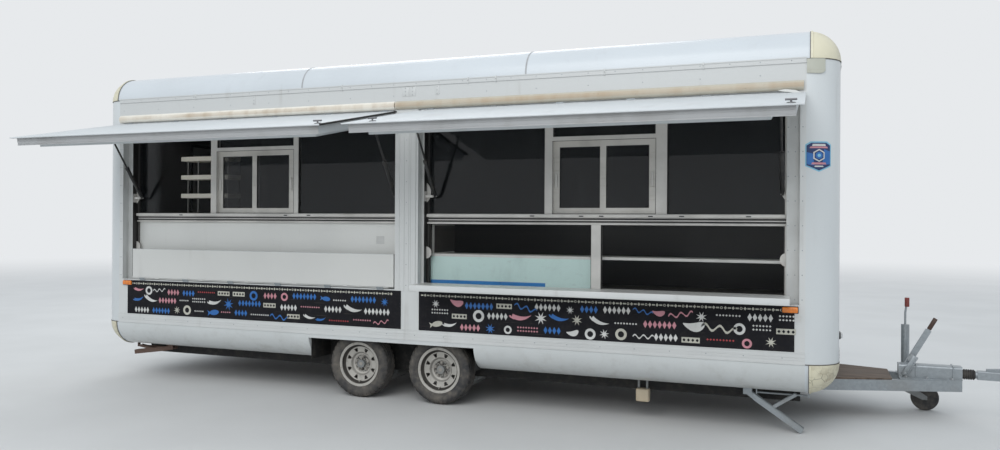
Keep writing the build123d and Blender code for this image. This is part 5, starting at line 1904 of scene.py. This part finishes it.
@dataclass
class Wheels(Works):
    """Four road wheels: treaded tyres, bolts, caps and valves on the pressed rims."""

    stations: dict[str, Span] = field(default_factory=lambda: {
        "rear_right": (-0.49, -1.0),
        "front_right": (0.238, -1.0),
        "rear_left": (-0.49, 1.0),
        "front_left": (0.238, 1.0),
    })
    centre_y: float = 0.9755
    radius: float = 0.272
    half: float = 0.0825
    bead: float = 0.1655
    steps: int = 120
    bolt_circle: float = 0.056

    @property
    def hub(self) -> Point:
        """The middle of a wheel modelled at the datum."""
        return (0, 0, self.radius)

    def build(self) -> None:
        """Make a tyre and fittings once and place them at each wheel."""
        master = self.tyre()
        fittings = self.fittings()
        for name, (x, side) in self.stations.items():
            self.dress({f"{name}_rim": WHEEL})
            tyre = self.placed(master, f"{name}_tyre_tread", x, side)
            self.bench.done(tyre, TYRE, f"{name}_wheel", "tyre", 30.0)
            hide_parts(f"{name}_tyre")
            bolts = self.placed(fittings, f"{name}_bolts", x, side)
            self.bench.done(bolts, HUB_STEEL, f"{name}_wheel", "wheel_silver")
        for spare in (master, fittings):
            bpy.data.objects.remove(spare)

    def placed(self, master: Piece, name: str, x: float, side: float) -> Piece:
        """A copy of a master modelled at the datum, facing out at its station.

        Args:
            master: The master.
            name: The copy's name.
            x: The wheel's station.
            side: +1 or -1 for the side that it faces.

        Returns:
            The copy.
        """
        copy = self.bench.copied(master)
        copy.name = name
        copy.data.name = name
        self.bench.turn(copy, (0, 0, 0), Matrix.Rotation(pi if side > 0 else 0.0, 4, "Z"))
        copy.data.transform(Matrix.Translation((x, side * self.centre_y, 0)))
        return copy

    def tyre(self) -> Piece:
        """A tyre about the datum's y axis: sidewall rings, shoulder, grooved and siped tread."""
        h, r = self.half, self.radius
        half_profile = [
            (-0.058, self.bead), (-0.061, self.bead + 0.014), (-0.066, 0.186), (-0.069, 0.187),
            (-0.0775, 0.205), (-0.0785, 0.2055), (-0.0815, 0.216), (-h, 0.226), (-0.0815, 0.237),
            (-0.079, 0.2425), (-0.0785, 0.2445), (-0.074, 0.256), (-0.067, 0.2645), (-0.058, r - 0.0035),
            (-0.047, r - 0.002), (-0.0465, r - 0.009), (-0.0395, r - 0.009), (-0.039, r - 0.001),
            (-0.0195, r - 0.0003), (-0.019, r - 0.0085), (-0.0125, r - 0.0085), (-0.012, r), (0.0, r),
        ]
        profile = half_profile + [(-y, radius) for y, radius in half_profile[-2::-1]] + half_profile[:1]
        tyre = self.bench.turned(
            "tyre_master", [(0, y, r + radius) for y, radius in profile], self.hub, (0, 1, 0), self.steps
        )
        centre = self.bench.here(*self.hub)

        def lug(face: bmesh.types.BMFace) -> bool:
            """Every third face of the shoulder ring, where a sipe is pressed in."""
            middle = face.calc_center_median() - centre
            ring = 0.0475 < abs(middle.y) < 0.078 and hypot(middle.x, middle.z) > 0.245
            step = int(degrees(atan2(middle.z, middle.x)) / (360 / self.steps) + 2 * self.steps)
            return ring and step % 3 == 0

        with self.bench.editing(tyre, "FACE", lug):
            bpy.ops.mesh.extrude_region_shrink_fatten(TRANSFORM_OT_shrink_fatten={"value": -0.004})
        return tyre

    def fittings(self) -> Piece:
        """Five wheel bolts, the centre cap and the valve, outward side at -y."""
        bench, radius = self.bench, self.radius
        face, height = -0.0055, radius + self.bolt_circle
        bolt = bench.rod("bolt", (0, face, height), (0, face - 0.014, height), 0.0105, 6, 0.0015)
        seat = bench.rod("seat", (0, face + 0.001, height), (0, face - 0.004, height), 0.0135, 20, 0.001)
        bolts = bench.ring(bench.join("bolts", [bolt, seat]), 5, self.hub)
        cap_profile = (
            (-0.036, 0), (-0.036, 0.012), (-0.033, 0.022), (-0.026, 0.028), (-0.004, 0.0325), (0.002, 0.0325)
        )
        points = [(0, y, radius + reach) for y, reach in cap_profile]
        cap = bench.turned("cap", points, self.hub, (0, 1, 0), 40)
        foot, top = (0.0, -0.030, radius - 0.138), (0.0, -0.066, radius - 0.146)
        valve = bench.rod("valve", foot, top, 0.0045, 12, 0.0008, tip=0.0035)
        return bench.join("wheel_fittings", [bolts, cap, valve])


@dataclass
class Underside(Works):
    """Chassis, axles, steadies and the small beige box that hangs under the floor."""

    box: tuple[Span, Span, Span] = ((1.79, 1.888), (-0.9, -0.84), (0.128, 0.224))
    hanger_x: Span = (1.8, 1.862)

    def build(self) -> None:
        """Dress the underside and hang its box."""
        self.dress({
            "drawbar_arms": GALVANISED,
            "steady_bases": STEADY,
            # Painted shade: the chassis frame is black in place of the deep shade under the floor.
            "chassis_frame": CHASSIS_BLACK,
            "axles": OLD_STEEL,
        })
        for end in ("front_right", "front_left", "rear_right", "rear_left"):
            self.dress({f"{end}_steady_leg": STEADY, f"{end}_steady_stay": STEADY})
        bench = self.bench
        body = bench.block("box", *self.box, 0.008, 3)
        lid = bench.block("lid", (1.794, 1.884), (-0.905, -0.899), (0.132, 0.22), 0.004)
        bench.fit("junction_box", [body, lid], BEIGE, "cream_plastic")
        depth, height = (-0.876, -0.864), (0.22, 0.3)
        hangers = [bench.block("hanger", (x, x + 0.016), depth, height) for x in self.hanger_x]
        bench.fit("box_hangers", hangers, OLD_STEEL, "galvanised")


@dataclass
class Drawbar(Works):
    """The braked drawbar: finishes, bolts, the brake lever's fork and grip, and the jockey crank's grip."""

    lever_foot: Span = (3.677, 0.330)
    lever_lean: float = 0.498
    near: float = -0.072
    bolts: tuple[Span, ...] = (
        (3.68, 0.085), (3.68, -0.085), (3.99, 0.07), (3.99, -0.07), (3.82, 0.085), (3.82, -0.085)
    )
    finishes: dict[str, Finish] = field(default_factory=lambda: {
        "overrun_housing": GALVANISED,
        "coupling_head": GALVANISED,
        "bellows": GAITER,
        "drawbar_deck": PLYWOOD,
        "handbrake_lever": GALVANISED,
        "jockey_tube": GALVANISED,
        "jockey_fork": OLD_STEEL,
        "jockey_wheel": TYRE,
    })

    def build(self) -> None:
        """Dress the drawbar and make its small pieces."""
        self.dress(self.finishes)
        self.lever_fork()
        self.housing_bolts()
        self.grips()

    def lever_fork(self) -> None:
        """The brake lever's near leg beside the housing, its web over the housing, and their pivot pin."""
        bench, near = self.bench, self.near
        x, z = self.lever_foot
        leg = bench.block("leg", about(x, 0.02), about(near, 0.004), (z - 0.018, z + 0.15), 0.003)
        web = bench.block("web", (x - 0.02, x - 0.014), (near - 0.004, 0.060), (z + 0.092, z + 0.15))
        edge = bench.block("edge", (x + 0.013, x + 0.02), (near - 0.009, near + 0.004), (z - 0.01, z + 0.146))
        fork = bench.join("lever_fork", [leg, web, edge])
        bench.turn(fork, (x, 0, z), Matrix.Rotation(self.lever_lean, 4, "Y"))
        inner = (x, -0.050, z)
        pin = bench.rod("pin", inner, (x, near - 0.010, z), 0.011, 6, 0.001)
        boss = bench.rod("boss", inner, (x, near + 0.004, z), 0.017, 24, 0.001)
        bench.fit("brake_lever_fork", [fork, pin, boss], GALVANISED, "galvanised")

    def housing_bolts(self) -> None:
        """The bolts on top of the overrun housing's flanges, with their washers."""
        bench = self.bench
        flange = 0.305
        bolts = []
        for x, y in self.bolts:
            bolts.append(bench.rod("bolt", (x, y, flange), (x, y, flange + 0.010), 0.009, 6, 0.001))
            bolts.append(bench.rod("washer", (x, y, flange - 0.0005), (x, y, flange + 0.0025), 0.013, 20))
        bench.fit("housing_bolts", bolts, BRIGHT, "galvanised")

    def grips(self) -> None:
        """The grips of the brake lever and of the jockey's crank."""
        grip = self.bench.rod("lever_grip", (3.853, 0.074, 0.654), (3.899, 0.074, 0.739), 0.0165, 24, 0.004)
        self.bench.done(grip, GRIP_BROWN, slot="rubber")
        handle = self.bench.rod("crank_grip", (3.718, 0.246, 0.806), (3.718, 0.246, 0.878), 0.0175, 24, 0.004)
        self.bench.done(handle, GRIP_RED, slot="rubber")


@dataclass
class Lamps(Works):
    """Side markers, rear lamp clusters and front lamps, each a lens on a dark base."""

    marker_x: Span = (-2.861, 2.877)
    marker_z: Span = (0.862, 0.902)
    rear_y: Span = (0.86, 0.925)
    front_y: Span = (0.835, 0.915)

    def build(self) -> None:
        """Make all lamps."""
        self.dress({"side_markers": ORANGE, "rear_lamps": RED_LENS})
        self.markers()
        self.rear()
        self.front()

    def markers(self) -> None:
        """The orange markers on both long sides."""
        bench = self.bench
        bases, lenses = [], []
        for x, side in product(self.marker_x, (-1, 1)):
            base, face = across(side, 1.15, 1.157), across(side, 1.154, 1.1725)
            bases.append(bench.block("base", about(x, 0.054), base, (0.858, 0.906), 0.003))
            lenses.append(bench.block("lens", about(x, 0.05), face, self.marker_z, 0.008, 3))
        bench.fit("marker_bases", bases, STRUT_BLACK, "dark_steel")
        markers = bench.fit("marker_lenses", lenses, ORANGE, "orange_lens")
        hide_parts("side_markers")

    def rear(self) -> None:
        """Rear lamp clusters of three lenses each."""
        bench = self.bench
        kinds = {
            "red": ((0.685, 0.755), RED_LENS),
            "orange": ((0.757, 0.824), ORANGE),
            "clear": ((0.616, 0.683), CLEAR_LENS),
        }
        bodies = []
        lenses: dict[str, list[Piece]] = {kind: [] for kind in kinds}
        for side in (-1, 1):
            low, high = across(side, *self.rear_y)
            bodies.append(bench.block("body", (-3.21, -3.188), (low, high), (0.61, 0.83), 0.004))
            inner = (low + 0.005, high - 0.005)
            for kind, (z, _) in kinds.items():
                lenses[kind].append(bench.block("lens", (-3.2225, -3.206), inner, z, 0.006, 3))
        housing = bench.fit("rear_lamp_bodies", bodies, STRUT_BLACK, "dark_steel")
        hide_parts("rear_lamps")
        for kind, (_, finish) in kinds.items():
            bench.fit(f"rear_lenses_{kind}", lenses[kind], finish, "red_lens")

    def front(self) -> None:
        """The two white position lamps low on the front wall."""
        bench = self.bench
        bases, lenses = [], []
        for side in (-1, 1):
            low, high = across(side, *self.front_y)
            bases.append(bench.block("base", (3.1875, 3.198), (low, high), (0.672, 0.718), 0.003))
            inner = (low + 0.005, high - 0.005)
            lenses.append(bench.block("lens", (3.194, 3.211), inner, (0.677, 0.713), 0.006, 3))
        bench.fit("front_lamp_bases", bases, STRUT_BLACK, "dark_steel")
        bench.fit("front_lamp_lenses", lenses, CLEAR_LENS, "glass")


@dataclass
class Stage(Works):
    """The floor, the light and the photograph's camera."""

    camera_place: Point = (3.0094, -6.9513, 1.4594)
    camera_turn: Point = (90.037, 0.34, 20.894)
    lens: float = 29.4
    sensor: float = 36.0
    shift: float = -0.0037
    sky: Colour = (0.86, 0.93, 1.0)
    sky_strength: float = 0.85
    floor_size: float = 400.0

    def build(self) -> None:
        """Set the floor, the light and the camera."""
        self.floor()
        self.world()
        self.lights()
        self.camera()
        bpy.context.scene.view_settings.view_transform = "Standard"

    def floor(self) -> None:
        """A plain pale floor that the wheels stand on."""
        self.bench.rest()
        bpy.ops.mesh.primitive_plane_add(size=self.floor_size, location=(0, 0, -0.001))
        floor = self.bench.named("studio_floor")
        floor.data.materials.append(dressed(Ground("pale_floor", (0.62, 0.62, 0.61))))

    def world(self) -> None:
        """A soft overcast dome, pale where the camera sees it."""
        world = bpy.data.worlds.new("dome")
        bpy.context.scene.world = world
        world.use_nodes = True
        graph = Graph(world.node_tree)
        light = graph.node("ShaderNodeBackground", {"Color": self.sky, "Strength": self.sky_strength})
        shown = graph.node("ShaderNodeBackground", {"Color": BACKDROP, "Strength": 1.0})
        blend = graph.node("ShaderNodeMixShader", {0: graph.seen(), 1: light, 2: shown})
        graph.close(blend, "ShaderNodeOutputWorld")

    def lights(self) -> None:
        """One broad high light from the serving side and a weaker one from the far side."""
        aim = Vector((0, 0, 1.2))
        for name, place, energy in (
            ("key_light", (0.5, -10.0, 8.5), 760.0),
            ("back_light", (-5.0, 9.0, 8.0), 420.0),
        ):
            data = bpy.data.lights.new(name, "AREA")
            data.energy = energy
            data.size = 9.0
            lamp = bpy.data.objects.new(name, data)
            bpy.context.scene.collection.objects.link(lamp)
            lamp.location = place
            lamp.rotation_euler = (aim - lamp.location).to_track_quat("-Z", "Y").to_euler()

    def camera(self) -> None:
        """The camera at the photograph's place, turned and rolled as it was."""
        data = bpy.data.cameras.new("photo_camera")
        data.sensor_fit = "HORIZONTAL"
        data.sensor_width = self.sensor
        data.lens = self.lens
        data.shift_y = self.shift
        data.clip_end = 600.0
        camera = bpy.data.objects.new("photo_camera", data)
        bpy.context.scene.collection.objects.link(camera)
        camera.location = self.bench.here(*self.camera_place)
        pitch, roll, yaw = (radians(angle) for angle in self.camera_turn)
        facing = Euler((pitch, 0, yaw), "XYZ").to_matrix() @ Matrix.Rotation(roll, 3, "Z")
        camera.rotation_euler = facing.to_euler()
        bpy.context.scene.camera = camera


def main() -> None:
    """Build every sub-assembly in order around the frame."""
    logging.basicConfig(level=logging.INFO, format="%(message)s")
    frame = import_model()
    low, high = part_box("roof_panel")
    bench = Bench(Vector(((low.x + high.x) / 2, (low.y + high.y) / 2, 0.0)))
    Graph.datum = bench.datum
    for part in (Shell, SignBoards, Windows, Hatches, Wheels, Underside, Drawbar, Lamps, Stage):
        LOG.info("building %s", part.__name__)
        part(frame, bench).build()


if __name__ == "__main__":
    main()
